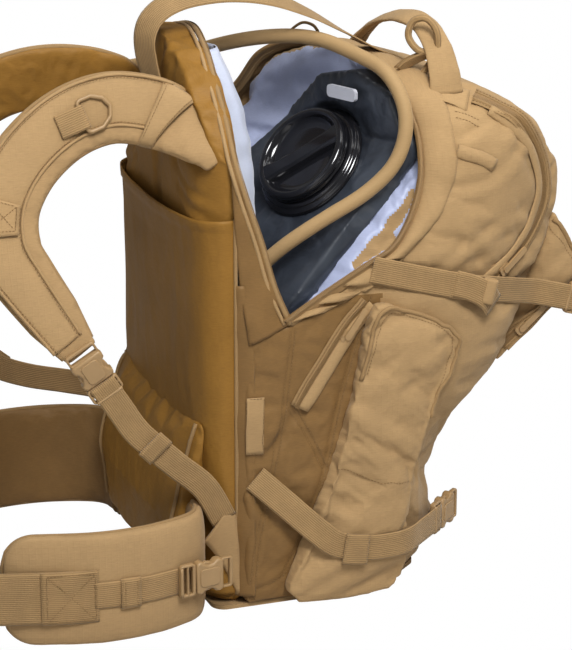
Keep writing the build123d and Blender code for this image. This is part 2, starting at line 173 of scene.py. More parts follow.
def strap_section(width, thick, columns=12, crown=0.0):
    """Flat section with rounded edges; crown raises its middle."""
    half = width / 2
    top = []
    for k in range(columns + 1):
        x = -half + width * k / columns
        edge = min(1.0, (half - abs(x)) / (thick * 0.6) + 0.35)
        top.append((x, thick / 2 * edge + crown * (1 - (x / half) ** 2)))
    bottom = [(x, z - 2 * (z - crown * (1 - (x / half) ** 2))) for x, z in reversed(top)]
    return top + bottom


def webbing(name, points, across, material, width=ONE_INCH, thick=1.8, step=4.0):
    """A flat strap along points in mm, `width` and `thick` in mm."""
    path = curve(points, step)
    return extrude_section(name, path, spread(across, len(path)),
                           strap_section(width / 1000, thick / 1000), material)


def round_section(radius, sides=10):
    """A circle of `sides` points, `radius` in m."""
    return [(radius * math.cos(2 * math.pi * k / sides), radius * math.sin(2 * math.pi * k / sides))
            for k in range(sides)]


def tube(name, path, radius, material, sides=10):
    """Round tube along a path in metres."""
    along = tangents(path)
    side = np.cross(along, [0.31, 0.17, 0.93])
    for k in range(1, len(side)):
        side[k] = side[k - 1] - along[k] * (side[k - 1] @ along[k])
    return extrude_section(name, path, side, round_section(radius, sides), material)


def apply_modifiers(piece):
    """Turns the piece's modifiers into its mesh."""
    depsgraph = bpy.context.evaluated_depsgraph_get()
    depsgraph.update()
    evaluated = piece.evaluated_get(depsgraph)
    mesh = bpy.data.meshes.new_from_object(evaluated)
    piece.modifiers.clear()
    piece.data = mesh
    return piece


def read_rows(items, what):
    """One vector for each of Blender's items, as rows of an array."""
    found = np.empty(len(items) * 3)
    items.foreach_get(what, found)
    return found.reshape(-1, 3)


def corners(piece):
    """The places (m) of a piece's corners."""
    return read_rows(piece.data.vertices, "co")


def set_corners(piece, places):
    """Moves a piece's corners to new places."""
    piece.data.vertices.foreach_set("co", np.asarray(places, float).ravel())
    piece.data.update()


def normals(piece):
    """The normals at a piece's corners."""
    return read_rows(piece.data.vertices, "normal")


def face_rows(piece):
    """The centres and the normals of the piece's faces."""
    faces = piece.data.polygons
    return np.array([face.center for face in faces]), np.array([face.normal for face in faces])


def shade_smooth(piece):
    """Gives every face of a piece smooth shading."""
    piece.data.polygons.foreach_set("use_smooth", [True] * len(piece.data.polygons))
    piece.data.update()
    return piece


# ---------------------------------------------------------------- materials
def new_material(name, color, rough, **sockets):
    """A Principled material, with its nodes, its links and its shader."""
    material = bpy.data.materials.new(name)
    material.use_nodes = True
    shader = material.node_tree.nodes["Principled BSDF"]
    shader.inputs["Base Color"].default_value = (*color, 1)
    shader.inputs["Roughness"].default_value = rough
    for socket, value in sockets.items():
        shader.inputs[socket.replace("_", " ")].default_value = value
    return material, material.node_tree.nodes, material.node_tree.links, shader


def node(nodes, kind, **values):
    """A shader node with its properties (lower case) and inputs (capitalised) set."""
    made = nodes.new("ShaderNode" + kind)
    for key, value in values.items():
        if key[0].isupper():
            made.inputs[key.replace("_", " ")].default_value = value
        else:
            setattr(made, key, value)
    return made


def mix_color(nodes, links, factor, dark, light):
    """Colour between dark and light by a factor socket."""
    ramp = node(nodes, "ValToRGB")
    ramp.color_ramp.elements[0].color = (*dark, 1)
    ramp.color_ramp.elements[1].color = (*light, 1)
    ramp.color_ramp.elements[0].position = 0.3
    ramp.color_ramp.elements[1].position = 0.7
    links.new(factor, ramp.inputs["Fac"])
    return ramp.outputs["Color"]


def add_bump(nodes, links, shader, heights):
    """Chains bumps: (height socket, strength, distance in mm)."""
    last = None
    for height, strength, distance in heights:
        bump = node(nodes, "Bump", Strength=strength, Distance=distance / 1000)
        links.new(height, bump.inputs["Height"])
        if last is not None:
            links.new(last.outputs["Normal"], bump.inputs["Normal"])
        last = bump
    links.new(last.outputs["Normal"], shader.inputs["Normal"])


def threads(nodes, links, source, direction, pitch_mm):
    """Fine parallel threads across a direction, one every pitch."""
    wave = node(nodes, "TexWave", wave_type="BANDS", bands_direction=direction,
                Scale=0.314 / (pitch_mm / 1000), Distortion=0.6, Detail=1.0, Detail_Scale=2.0)
    links.new(source, wave.inputs["Vector"])
    return wave.outputs["Fac"]


def maths(nodes, links, operation, *values):
    """A Math node between sockets or numbers; gives its output."""
    made = node(nodes, "Math", operation=operation)
    for k, value in enumerate(values):
        if isinstance(value, (int, float)):
            made.inputs[k].default_value = value
        else:
            links.new(value, made.inputs[k])
    return made.outputs[0]


def cloth_vector(nodes, links):
    """Object position with the across-grain coordinate chosen by which way the face looks."""
    place = node(nodes, "TexCoord").outputs["Object"]
    split = node(nodes, "SeparateXYZ")
    links.new(place, split.inputs[0])
    look = node(nodes, "SeparateXYZ")
    links.new(node(nodes, "NewGeometry").outputs["Normal"], look.inputs[0])
    sideways = maths(nodes, links, "GREATER_THAN", maths(nodes, links, "ABSOLUTE", look.outputs["X"]), 0.7)
    flat = maths(nodes, links, "GREATER_THAN", maths(nodes, links, "ABSOLUTE", look.outputs["Z"]), 0.75)
    grain = node(nodes, "Mix", data_type="FLOAT")
    links.new(sideways, grain.inputs[0])
    links.new(split.outputs["X"], grain.inputs[2])
    links.new(split.outputs["Y"], grain.inputs[3])
    height = node(nodes, "Mix", data_type="FLOAT")
    links.new(flat, height.inputs[0])
    links.new(split.outputs["Z"], height.inputs[2])
    links.new(split.outputs["Y"], height.inputs[3])
    joined = node(nodes, "CombineXYZ")
    links.new(grain.outputs[0], joined.inputs["X"])
    links.new(height.outputs[0], joined.inputs["Y"])
    return place, joined.outputs[0]


def fabric(name, color, rough=0.85, weave=0.9, weave_depth=0.35, ripstop=0.0, mottle=0.12, creases=0.0,
           sheen=0.10, crease_size=55):
    """Woven cloth: threads both ways, an optional ripstop grid, slubs, faded patches and fine creases."""
    dark = tuple(c * (1 - mottle) for c in color)
    light = tuple(min(1, c * (1 + mottle)) for c in color)
    material, nodes, links, shader = new_material(name, color, rough, Sheen_Weight=sheen, Sheen_Roughness=0.4)
    place, flat = cloth_vector(nodes, links)
    patches = node(nodes, "TexNoise", Scale=14.0, Detail=6.0, Roughness=0.65)
    links.new(place, patches.inputs["Vector"])
    stretch = node(nodes, "Mapping", Scale=(160, 1100, 1))
    links.new(flat, stretch.inputs["Vector"])
    slubs = node(nodes, "TexNoise", Scale=1.0, Detail=2.0)
    links.new(stretch.outputs["Vector"], slubs.inputs["Vector"])
    tone = maths(nodes, links, "ADD", maths(nodes, links, "MULTIPLY", patches.outputs["Fac"], 0.55),
                 maths(nodes, links, "MULTIPLY", slubs.outputs["Fac"], 0.45))
    links.new(mix_color(nodes, links, tone, dark, light), shader.inputs["Base Color"])
    heights = [(threads(nodes, links, flat, "X", weave), weave_depth, 0.25),
               (threads(nodes, links, flat, "Y", weave), weave_depth, 0.25)]
    if ripstop:
        for direction in ("X", "Y"):
            line = maths(nodes, links, "POWER", threads(nodes, links, flat, direction, 5.5), 14.0)
            heights.append((line, ripstop, 0.5))
    if creases:
        folds = node(nodes, "TexNoise", Scale=float(crease_size), Detail=5.0, Roughness=0.6, Distortion=0.6)
        links.new(place, folds.inputs["Vector"])
        heights.append((folds.outputs["Fac"], creases, 3.0))
    add_bump(nodes, links, shader, heights)
    return material


def webbing_cloth(name, color, rough=0.75):
    """Woven tape: ribs along its length and fine picks across, from the strip's metre UVs."""
    material, nodes, links, shader = new_material(name, color, rough, Sheen_Weight=0.2, Sheen_Roughness=0.4)
    tape = node(nodes, "TexCoord").outputs["UV"]
    ribs = threads(nodes, links, tape, "Y", 1.9)
    picks = threads(nodes, links, tape, "X", 1.3)
    wear = node(nodes, "TexNoise", Scale=60.0, Detail=5.0)
    links.new(node(nodes, "TexCoord").outputs["Object"], wear.inputs["Vector"])
    tone = maths(nodes, links, "ADD", maths(nodes, links, "MULTIPLY", ribs, 0.45),
                 maths(nodes, links, "MULTIPLY", wear.outputs["Fac"], 0.55))
    dark = tuple(c * 0.80 for c in color)
    light = tuple(min(1, c * 1.14) for c in color)
    links.new(mix_color(nodes, links, tone, dark, light), shader.inputs["Base Color"])
    add_bump(nodes, links, shader, [(ribs, 0.75, 0.4), (picks, 0.35, 0.2)])
    return material


def moulded(name, color, rough, grain=0.25, coat=0.0, wear=0.12, metallic=0.0):
    """Moulded plastic, rubber or metal: fine grain and edges worn a little lighter."""
    material, nodes, links, shader = new_material(name, color, rough, Coat_Weight=coat,
                                                  Coat_Roughness=0.08, Metallic=metallic)
    place = node(nodes, "TexCoord").outputs["Object"]
    grains = node(nodes, "TexNoise", Scale=900.0, Detail=2.0)
    broad = node(nodes, "TexNoise", Scale=45.0, Detail=4.0)
    for noise_node in (grains, broad):
        links.new(place, noise_node.inputs["Vector"])
    edge = node(nodes, "NewGeometry").outputs["Pointiness"]
    tone = maths(nodes, links, "ADD", maths(nodes, links, "MULTIPLY", edge, 0.8),
                 maths(nodes, links, "MULTIPLY", broad.outputs["Fac"], 0.2))
    dark = tuple(c * (1 - wear) for c in color)
    light = tuple(min(1, c * (1 + 1.6 * wear) + 0.01 * wear) for c in color)
    links.new(mix_color(nodes, links, tone, dark, light), shader.inputs["Base Color"])
    add_bump(nodes, links, shader, [(grains.outputs["Fac"], grain, 0.1), (broad.outputs["Fac"], 0.1, 0.6)])
    return material


TAN = (0.405, 0.272, 0.135)
pack_cloth = fabric("pack_cloth", TAN, ripstop=0.16, mottle=0.11, creases=0.12)
plain_cloth = fabric("plain_cloth", (0.39, 0.26, 0.128), weave=1.1, mottle=0.12, creases=0.15)
satin = fabric("satin", (0.285, 0.153, 0.034), rough=0.50, weave=0.7, weave_depth=0.12, mottle=0.16,
               creases=0.40, sheen=0.0, crease_size=38)
side_satin = fabric("side_satin", (0.235, 0.140, 0.055), rough=0.48, weave=0.7, weave_depth=0.12, mottle=0.14,
                    creases=0.40, sheen=0.10, crease_size=34)
lining = fabric("lining", (0.42, 0.46, 0.62), rough=0.38, weave=0.7, weave_depth=0.1, mottle=0.08,
                creases=0.45, sheen=0.3, crease_size=34)
pale_lining = fabric("pale_lining", (0.56, 0.60, 0.72), rough=0.42, weave=0.7, weave_depth=0.1,
                     mottle=0.06, creases=0.3, sheen=0.3, crease_size=30)
web_cloth = webbing_cloth("web_cloth", (0.345, 0.225, 0.103))
binding_cloth = fabric("binding_cloth", (0.33, 0.215, 0.10), weave=0.8, mottle=0.1)
tube_cloth = fabric("tube_cloth", (0.40, 0.270, 0.130), rough=0.7, weave=0.9, weave_depth=0.2, mottle=0.07)
for glossy in (satin, side_satin):
    glossy.node_tree.nodes["Principled BSDF"].inputs["Specular IOR Level"].default_value = 0.22
thread = fabric("thread", (0.27, 0.168, 0.070), weave=0.4, mottle=0.1)
zip_plastic = moulded("zip_plastic", (0.25, 0.155, 0.065), 0.5)
buckle_plastic = moulded("buckle_plastic", (0.33, 0.22, 0.11), 0.42, wear=0.2)
black_gloss = moulded("black_gloss", (0.012, 0.012, 0.015), 0.13, grain=0.02, coat=0.6, wear=0.1)
clip_plastic = moulded("clip_plastic", (0.50, 0.51, 0.56), 0.28, grain=0.05)
valve_rubber = moulded("valve_rubber", (0.30, 0.205, 0.11), 0.6)
lever_black = moulded("lever_black", (0.02, 0.02, 0.022), 0.4)
sheet_plastic = moulded("sheet_plastic", (0.03, 0.03, 0.03), 0.45)
stay_metal = moulded("stay_metal", (0.7, 0.7, 0.72), 0.35, metallic=1.0)


def film():
    """Dark translucent-looking film of the reservoir, wavy and half glossy."""
    material, nodes, links, shader = new_material("film", (0.032, 0.037, 0.048), 0.32, Coat_Weight=0.25,
                                                  Coat_Roughness=0.25, Specular_IOR_Level=0.6)
    place = node(nodes, "TexCoord").outputs["Object"]
    waves = node(nodes, "TexNoise", Scale=22.0, Detail=3.0, Distortion=0.8)
    skin = node(nodes, "TexNoise", Scale=420.0, Detail=2.0)
    for noise_node in (waves, skin):
        links.new(place, noise_node.inputs["Vector"])
    links.new(mix_color(nodes, links, waves.outputs["Fac"], (0.020, 0.024, 0.033), (0.060, 0.070, 0.088)),
              shader.inputs["Base Color"])
    add_bump(nodes, links, shader, [(waves.outputs["Fac"], 0.5, 6.0), (skin.outputs["Fac"], 0.12, 0.2)])
    return material


bladder_film = film()


# ---------------------------------------------------------------- camera, light and floor
def ground(name, height, material):
    """A wide level sheet."""
    half = 30
    return add_mesh(name, [(x * half, y * half, height) for x, y in ((-1, -1), (1, -1), (1, 1), (-1, 1))],
                    [(0, 1, 2, 3)], material)


def studio():
    """The photograph's camera, a soft studio, a floor that bounces light and the white paper seen on it."""
    camera = bpy.data.objects.new("camera", bpy.data.cameras.new("camera"))
    camera.data.lens = 133.8
    camera.location = (2.148, -0.784, 0.928)
    turn, drop = math.radians(70), math.radians(17)
    look = Vector((-math.sin(turn) * math.cos(drop), math.cos(turn) * math.cos(drop), -math.sin(drop)))
    camera.rotation_euler = look.to_track_quat("-Z", "Y").to_euler()
    bpy.context.scene.collection.objects.link(camera)
    bpy.context.scene.camera = camera

    bpy.context.scene.view_settings.view_transform = "Standard"
    bpy.context.scene.view_settings.gamma = 0.86
    world = bpy.data.worlds.new("studio")
    world.use_nodes = True
    world.node_tree.nodes["Background"].inputs["Color"].default_value = (1.0, 0.995, 0.985, 1)
    world.node_tree.nodes["Background"].inputs["Strength"].default_value = 0.27
    bpy.context.scene.world = world
    lamps = {
        "key": ((1.7, -0.2, 2.1), 0.9, 58),
        "top": ((0.2, 0.6, 2.1), 1.2, 14),
        "fill": ((1.5, -1.7, 0.9), 1.2, 4),
        "rim": ((-0.6, 1.9, 1.2), 1.0, 8),
    }
    for name, (place, size, watts) in lamps.items():
        data = bpy.data.lights.new(name, "AREA")
        data.size = size
        data.energy = watts
        lamp = bpy.data.objects.new(name, data)
        lamp.location = place
        lamp.rotation_euler = (Vector((0, 0, 0.27)) - Vector(place)).to_track_quat("-Z", "Y").to_euler()
        bpy.context.scene.collection.objects.link(lamp)

    bounce = new_material("bounce", (0.62, 0.61, 0.60), 0.9)[0]
    ground("floor", -0.002, bounce)
    white, _, _, shader = new_material("paper", (0.0, 0.0, 0.0), 1.0)
    shader.inputs["Emission Color"].default_value = (1, 1, 1, 1)
    shader.inputs["Emission Strength"].default_value = 1.0
    shader.inputs["Specular IOR Level"].default_value = 0.0
    paper = ground("paper", -0.001, white)
    paper.visible_diffuse = paper.visible_glossy = paper.visible_transmission = paper.visible_shadow = False


studio()

# ---------------------------------------------------------------- drinking tube
tube_route = [
    (62, -88, 178), (63, -88.5, 238), (82, -87, 288), (104, -54, 334), (121, -8, 368), (129, 31, 390),
    (133, 62, 420), (128, 72, 462), (102, 63, 497), (70, 46, 508), (24, 16, 522), (-26, -38, 514),
    (-84, -94, 486), (-144, -148, 466), (-144, -208, 476), (-145, -266, 463), (-150, -314, 424),
    (-166, -338, 372),
]


def drinking_tube():
    """The drinking tube, a cord from the exit port over the lip to the bite valve."""
    line = bpy.data.curves.new("hose", "CURVE")
    line.dimensions = "3D"
    line.bevel_depth = 0.0070
    line.bevel_resolution = 5
    line.resolution_u = 12
    line.use_fill_caps = True
    spline = line.splines.new("NURBS")
    spline.points.add(len(tube_route) - 1)
    for point, place in zip(spline.points, mm(tube_route)):
        point.co = (*place, 1)
    spline.order_u = 3
    spline.use_endpoint_u = True
    line.materials.append(tube_cloth)
    hose = bpy.data.objects.new("hose", line)
    bpy.context.scene.collection.objects.link(hose)
    placed(hose, "pack", ["drink_tube"])


drinking_tube()


# ---------------------------------------------------------------- soft shapes
def soft_copy(name, cad_node, material, voxel=4.5, rounds=3):
    """A CAD solid as an even mesh with its edges rounded off."""
    piece = bpy.data.objects.new(name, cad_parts[cad_node].data.copy())
    bpy.context.scene.collection.objects.link(piece)
    remesh = piece.modifiers.new("even", "REMESH")
    remesh.mode = "VOXEL"
    remesh.voxel_size = voxel / 1000
    smooth = piece.modifiers.new("round", "SMOOTH")
    smooth.factor = 0.5
    smooth.iterations = rounds
    apply_modifiers(piece)
    piece.data.materials.clear()
    piece.data.materials.append(material)
    return shade_smooth(piece)


def near(piece, paths, reach):
    """Which vertices lie within `reach` mm of any of the paths (m)."""
    tree = nearest_tree([place for path in paths for place in path])
    return np.array([tree.find(place)[2] * 1000 < reach for place in corners(piece)])


def swell(jobs, frames=16):
    """Cloth simulation with inner pressure, all pieces at once.
    Each job is (piece, held vertices, pressure, extra cloth share, largest move in mm)."""
    scene = bpy.context.scene
    starts = {}
    for piece, held, pressure, extra, most in jobs:
        starts[piece.name] = corners(piece)
        group = piece.vertex_groups.new(name="held")
        group.add([int(k) for k in np.nonzero(held)[0]], 1.0, "REPLACE")
        cloth = piece.modifiers.new("cloth", "CLOTH")
        cloth.settings.quality = 5
        cloth.settings.mass = 0.25
        cloth.settings.tension_stiffness = 18
        cloth.settings.compression_stiffness = 18
        cloth.settings.bending_stiffness = 0.35
        cloth.settings.vertex_group_mass = "held"
        cloth.settings.use_pressure = True
        cloth.settings.uniform_pressure_force = pressure
        cloth.settings.shrink_min = -extra
        cloth.settings.effector_weights.gravity = 0
        cloth.point_cache.frame_start = 1
        cloth.point_cache.frame_end = frames
    for number in range(1, frames + 1):
        scene.frame_set(number)
    for piece, held, pressure, extra, most in jobs:
        apply_modifiers(piece)
        moved = corners(piece) - starts[piece.name]
        reach = np.linalg.norm(moved, axis=1, keepdims=True)
        set_corners(piece, starts[piece.name] + moved * np.minimum(1, most / 1000 / np.maximum(reach, 1e-9)))
    scene.frame_set(1)


def refine(piece, levels=1):
    """Subdivides a finished shape so that seams and stitching have room."""
    step = piece.modifiers.new("finer", "SUBSURF")
    step.levels = levels
    step.render_levels = levels
    return shade_smooth(apply_modifiers(piece))


def carve(piece, path, width, depth):
    """Pulls the surface in (or out, with a negative depth) along a path, in mm."""
    tree = nearest_tree(path)
    places, outward = corners(piece), normals(piece)
    low, high = path.min(0) - width * 0.003, path.max(0) + width * 0.003
    close = np.nonzero(((places > low) & (places < high)).all(1))[0]
    for k in close:
        distance = tree.find(places[k])[2] * 1000
        places[k] -= outward[k] * depth / 1000 * math.exp(-(distance / width) ** 2)
    set_corners(piece, places)


def fold(piece, path, width, depth):
    """A valley with a softer ridge each side, as cloth makes when it buckles."""
    carve(piece, path, width, depth)
    lean_side = unit(np.cross(tangents(path), [1.0, 0, 0]))
    carve(piece, path + lean_side * width * 1.6 / 1000, width * 1.1, -depth * 0.55)


def rumple(piece, size, height, seed=0, stretch=(1, 1, 1), where=None):
    """Soft random folds: size and height in mm; stretch scales the axes of the pattern."""
    places, outward = corners(piece), normals(piece)
    scaled = places * 1000 / size * np.array(stretch)
    shift = Vector((seed * 7.3, seed * 3.1, seed * 5.7))
    for k, place in enumerate(scaled):
        weight = 1.0 if where is None else where[k]
        if weight > 0:
            spot = Vector(place) + shift
            amount = noise.noise(spot) + 0.45 * (1 - 2 * abs(noise.noise(spot * 1.9)))
            places[k] += outward[k] * amount * height / 1000 * weight
    set_corners(piece, places)


def tree_of(piece):
    """A ray-casting tree of a piece's faces."""
    return BVHTree.FromPolygons([v.co.copy() for v in piece.data.vertices],
                                [tuple(p.vertices) for p in piece.data.polygons])


def snapped(path, surface, lift=0.0):
    """The path laid on a surface tree, lifted by `lift` mm, with the surface's normals."""
    laid, looks = [], []
    for place in path:
        spot, look, _, _ = surface.find_nearest(Vector(place))
        laid.append(spot + look * lift / 1000)
        looks.append(look)
    return np.array(laid), np.array(looks)


sewn = {}


def stitch(body, path, looks, pitch=3.2, length=2.1, radius=0.32):
    """Adds a row of raised stitches along a path with surface normals."""
    verts, faces = sewn.setdefault(body, ([], []))
    run = run_lengths(path)
    count = int(run[-1] * 1000 / pitch)
    for k in range(count):
        at = (k + 0.5) * pitch / 1000
        place = along_run(path, run, at)
        along = unit(along_run(path, run, at + 0.0004) - place)
        look = unit(along_run(looks, run, at))
        side = np.cross(along, look)
        base = len(verts)
        for share, size in ((-0.5, 0.35), (-0.25, 1.0), (0.25, 1.0), (0.5, 0.35)):
            for across, up in ((1, 0), (0, 1), (-1, 0), (0, -1)):
                verts.append(place + along * length * share / 1000
                             + (side * across + look * up) * radius * size / 1000)
        for ring in range(3):
            for k4 in range(4):
                a, b = base + ring * 4 + k4, base + ring * 4 + (k4 + 1) % 4
                faces.append((a, b, b + 4, a + 4))
        faces.append((base + 3, base + 2, base + 1, base))
        faces.append((base + 12, base + 13, base + 14, base + 15))


def stitch_on(body, points, surface, lift=0.35, **sizes):
    """A stitched row through points in mm, laid on a surface."""
    path, looks = snapped(curve(points, 3), surface, lift)
    stitch(body, path, looks, **sizes)


def finish_stitches():
    """Makes one piece of all the stitches sewn on each body."""
    for body, (verts, faces) in sewn.items():
        placed(add_mesh(f"stitching_{body}", verts, faces, thread), body)


def pad_along(name, path, across, half_width, half_thick, material, power=3.2, ring=28):
    """A stuffed pad swept along a path; half width and half thickness may vary along it (m)."""
    count = len(path)
    along = tangents(path)
    across = unit(across - (across * along).sum(1, keepdims=True) * along)
    out = np.cross(along, across)
    turn = np.linspace(0, 2 * math.pi, ring, endpoint=False)
    shape_w = np.sign(np.cos(turn)) * np.abs(np.cos(turn)) ** (2 / power)
    shape_t = np.sign(np.sin(turn)) * np.abs(np.sin(turn)) ** (2 / power)
    wide = np.broadcast_to(half_width, count)[:, None, None]
    thick = np.broadcast_to(half_thick, count)[:, None, None]
    verts = (path[:, None, :] + wide * shape_w[None, :, None] * across[:, None, :]
             + thick * shape_t[None, :, None] * out[:, None, :])
    faces = grid_faces(count, ring, wrap_columns=True) + end_caps(count, ring)
    return add_mesh(name, verts.reshape(-1, 3), faces, material), along, across, out


# ---------------------------------------------------------------- bag
lip_points = [
    (150, -53, 278), (150, -18, 299), (150, 25, 323), (149, 50, 336), (145, 66, 353), (139, 80, 380),
    (132, 87, 410), (117, 86, 448), (92, 76, 478), (50, 65, 495), (0, 58, 501), (-60, 37, 498),
    (-100, 11, 480), (-126, -6, 444), (-142, -45, 397), (-149, -80, 352),
]
flange_points = [
    (150, -20, 287), (150, 20, 303), (151, 50, 324), (150, 72, 343), (147, 93, 364), (144, 108, 390),
    (137, 117, 415), (125, 116, 446), (106, 115, 469), (80, 108, 486), (46, 99, 497), (0, 92, 503),
    (-60, 72, 499), (-100, 46, 483), (-126, 28, 448), (-144, -12, 402),
]
rear_seam = [(150, -50, 272), (150, -57, 210), (150, -64, 166), (150, -74, 118), (150, -86, 62), (149, -92, 8)]
cross_seam = [(150, -56, 203), (150, -41, 180), (150, -29, 157), (150, -18, 133)]
pouch_seam = [(150, 25, 297), (150, 15, 264), (150, 8, 240), (150, -5, 193), (150, -18, 133), (150, -28, 104),
              (150, -40, 72), (150, -52, 45), (150, -64, 27), (150, -88, 18)]
main_zip = [
    (105, 148, 470), (116, 170, 459), (121, 186, 447), (119, 202, 428), (114, 213, 408), (111, 219, 382),
    (113, 215, 355), (119, 200, 331), (129, 176, 312), (139, 150, 298), (147, 128, 289),
]
top_zip = [(131, 119, 424), (135, 132, 420), (136, 143, 415), (137, 152, 410)]
side_zip = [(150, 23, 292), (150, 5, 274), (150, -13, 249), (150, -31, 222), (150, -46, 197)]
patch_corners = [(150, -96, 210), (150, -79, 210), (150, -81, 155), (150, -94, 158)]


def mirrored(points):
    """The same points on the other side of the bag."""
    return [(-x, y, z) for x, y, z in points]


def facing_own_inside(piece, reach=0.34):
    """Which faces look into the piece's own hollow."""
    surface = tree_of(piece)
    inside = []
    for face in piece.data.polygons:
        look = Vector(face.normal)
        hit = surface.ray_cast(face.center + look * 0.003, look, reach)
        inside.append(hit[0] is not None)
    return np.array(inside)


def lined_faces(piece):
    """The faces seen from within the open mouth, which carry the pale lining."""
    surface = tree_of(piece)
    lined = np.zeros(len(piece.data.polygons), bool)
    seats = [Vector(place) for place in mm([(20, -30, 400), (70, 10, 420), (-50, -30, 400), (80, -30, 330),
                                            (40, 30, 450), (110, 10, 350), (100, -36, 300)])]
    for k, face in enumerate(piece.data.polygons):
        middle = face.center
        if middle[2] < 0.22 or middle[1] > 0.200:
            continue
        for seat in seats:
            way = middle - seat
            hit = surface.ray_cast(seat, way.normalized(), way.length + 0.004)
            if hit[0] is not None and (hit[0] - middle).length < 0.0035:
                lined[k] = True
                break
    centres, looks = face_rows(piece)
    lip = curve(lip_points, 3)
    ways = unit(lip - np.array([0.02, 0.0, 0.36]))
    tree = nearest_tree(lip)
    for k in np.flatnonzero(centres[:, 2] > 0.25):
        _, number, gap = tree.find(centres[k])
        if gap < 0.048:
            inward = (centres[k] - lip[number]) @ ways[number]
            inner_side = abs(centres[k][0]) < abs(lip[number][0]) - 0.002
            lined[k] |= bool(inner_side and inward < -0.0012 and looks[k] @ ways[number] < 0.25)
    middles = nearest_tree(centres)
    for _ in range(2):
        upper = np.flatnonzero((centres[:, 2] > 0.25) & (centres[:, 1] < 0.20))
        around = [np.mean([lined[other] for _, other, _ in middles.find_n(centres[k], 13)
                           if looks[other] @ looks[k] > 0.2]) for k in upper]
        lined[upper] = np.array(around) > 0.5
    lined[(np.abs(centres[:, 0]) > 0.1470) & (centres[:, 2] < 0.345)] = False
    return lined


def side_faces(piece):
    """The smoother, darker cloth of the bag's sides, between the back panel and the pouches."""
    centres, _ = face_rows(piece)
    line = mm(pouch_seam[::-1])
    edge = np.maximum(np.interp(centres[:, 2], line[:, 2], line[:, 1]) + 0.012, -0.042)
    return (np.abs(centres[:, 0]) > 0.138) & (centres[:, 1] < edge) & (centres[:, 2] < 0.299)


bag = soft_copy("bag", "main_compartment", pack_cloth, 4.5, 6)
bag_seams = [curve(p, 4) for p in (lip_points, rear_seam, cross_seam, pouch_seam, side_zip, main_zip,
                                   mirrored(rear_seam), mirrored(pouch_seam), mirrored(main_zip))]
front_pocket = soft_copy("front_pocket_cloth", "front_pocket", pack_cloth, 4.5, 10)
pouch_left = soft_copy("side_pouch_left_cloth", "side_pouch_left", pack_cloth, 3.2, 8)
pouch_right = soft_copy("side_pouch_right_cloth", "side_pouch_right", pack_cloth, 3.2, 8)
lumbar = soft_copy("lumbar_cushion", "lumbar_pad", satin, 4, 8)
panel = soft_copy("back_panel_cloth", "back_panel", satin, 4, 3)
bladder = soft_copy("bladder_film_bag", "reservoir_bladder", bladder_film, 3, 4)


def widen_lumbar():
    """The cushion's cover runs out to the panel's edge."""
    places = corners(lumbar)
    places[:, 0] *= 1.10
    set_corners(lumbar, places)


widen_lumbar()


def round_pouch(piece):
    """Turns the pouch's two square top corners into arcs."""
    places = corners(piece)
    along, up = np.array([0.928, -0.371]), np.array([0.371, 0.928])
    for centre, way, radius in (((86.2, 246.5), 1, 0.026), ((36.1, 271.0), -1, 0.020)):
        offset = places[:, 1:] - np.array(centre) / 1000
        u, v = offset @ along * way, offset @ up
        corner = (u > 0) & (v > 0) & (np.maximum(u, v) < radius * 1.35)
        scale = np.maximum(u, v)[corner] / np.hypot(u, v)[corner]
        places[corner, 1:] = (np.array(centre) / 1000 + (u[corner] * scale)[:, None] * along * way
                              + (v[corner] * scale)[:, None] * up)
    set_corners(piece, places)


round_pouch(pouch_left)
round_pouch(pouch_right)


def round_panel():
    """Rounds the panel's upright corners on the wearer's side, as its foam does."""
    places = corners(panel)
    outer = np.clip((np.abs(places[:, 0]) - 0.096) / 0.043, 0, 0.97)
    rear = places[:, 1] < -0.104
    places[rear, 1] = -0.104 + (places[rear, 1] + 0.104) * np.sqrt(1 - outer[rear] ** 2)
    set_corners(panel, places)


round_panel()


def draw_in_front():
    """The front hangs slack below its pocket and falls back towards the lower straps."""
    places = corners(bag)
    slack = np.interp(places[:, 2], [0.018, 0.056, 0.070, 0.091, 0.107, 0.130, 0.165, 0.200, 0.222],
                      [0, 0.010, 0.018, 0.030, 0.037, 0.040, 0.024, 0.007, 0])
    places[:, 1] -= slack * np.clip((places[:, 1] - 0.066) / 0.056, 0, 1)
    set_corners(bag, places)


draw_in_front()


def bag_held():
    """The bag's cloth is held at its seams, its floor, its mouth and where it meets the back panel."""
    places = corners(bag)
    hollow = np.zeros(len(places), bool)
    for face, inside in zip(bag.data.polygons, facing_own_inside(bag)):
        if inside:
            hollow[list(face.vertices)] = True
    return hollow | near(bag, bag_seams, 5) | (places[:, 1] < -0.092) | (places[:, 2] < 0.012)


swell([
    (bag, bag_held(), 3.0, 0.035, 8),
    (front_pocket, corners(front_pocket)[:, 1] < 0.160, 3.0, 0.04, 7),
    (pouch_left, corners(pouch_left)[:, 0] < 0.152, 3.5, 0.05, 7),
    (pouch_right, corners(pouch_right)[:, 0] > -0.152, 3.5, 0.05, 7),
    (lumbar, corners(lumbar)[:, 1] > -0.134, 3.0, 0.03, 6),
    (panel, (corners(panel)[:, 1] > -0.100) | (np.abs(corners(panel)[:, 0]) < 0.01), 2.5, 0.02, 3),
    (bladder, near(bladder, [mm([(40, -3, 413)])], 62), 1.5, 0.01, 4),
])


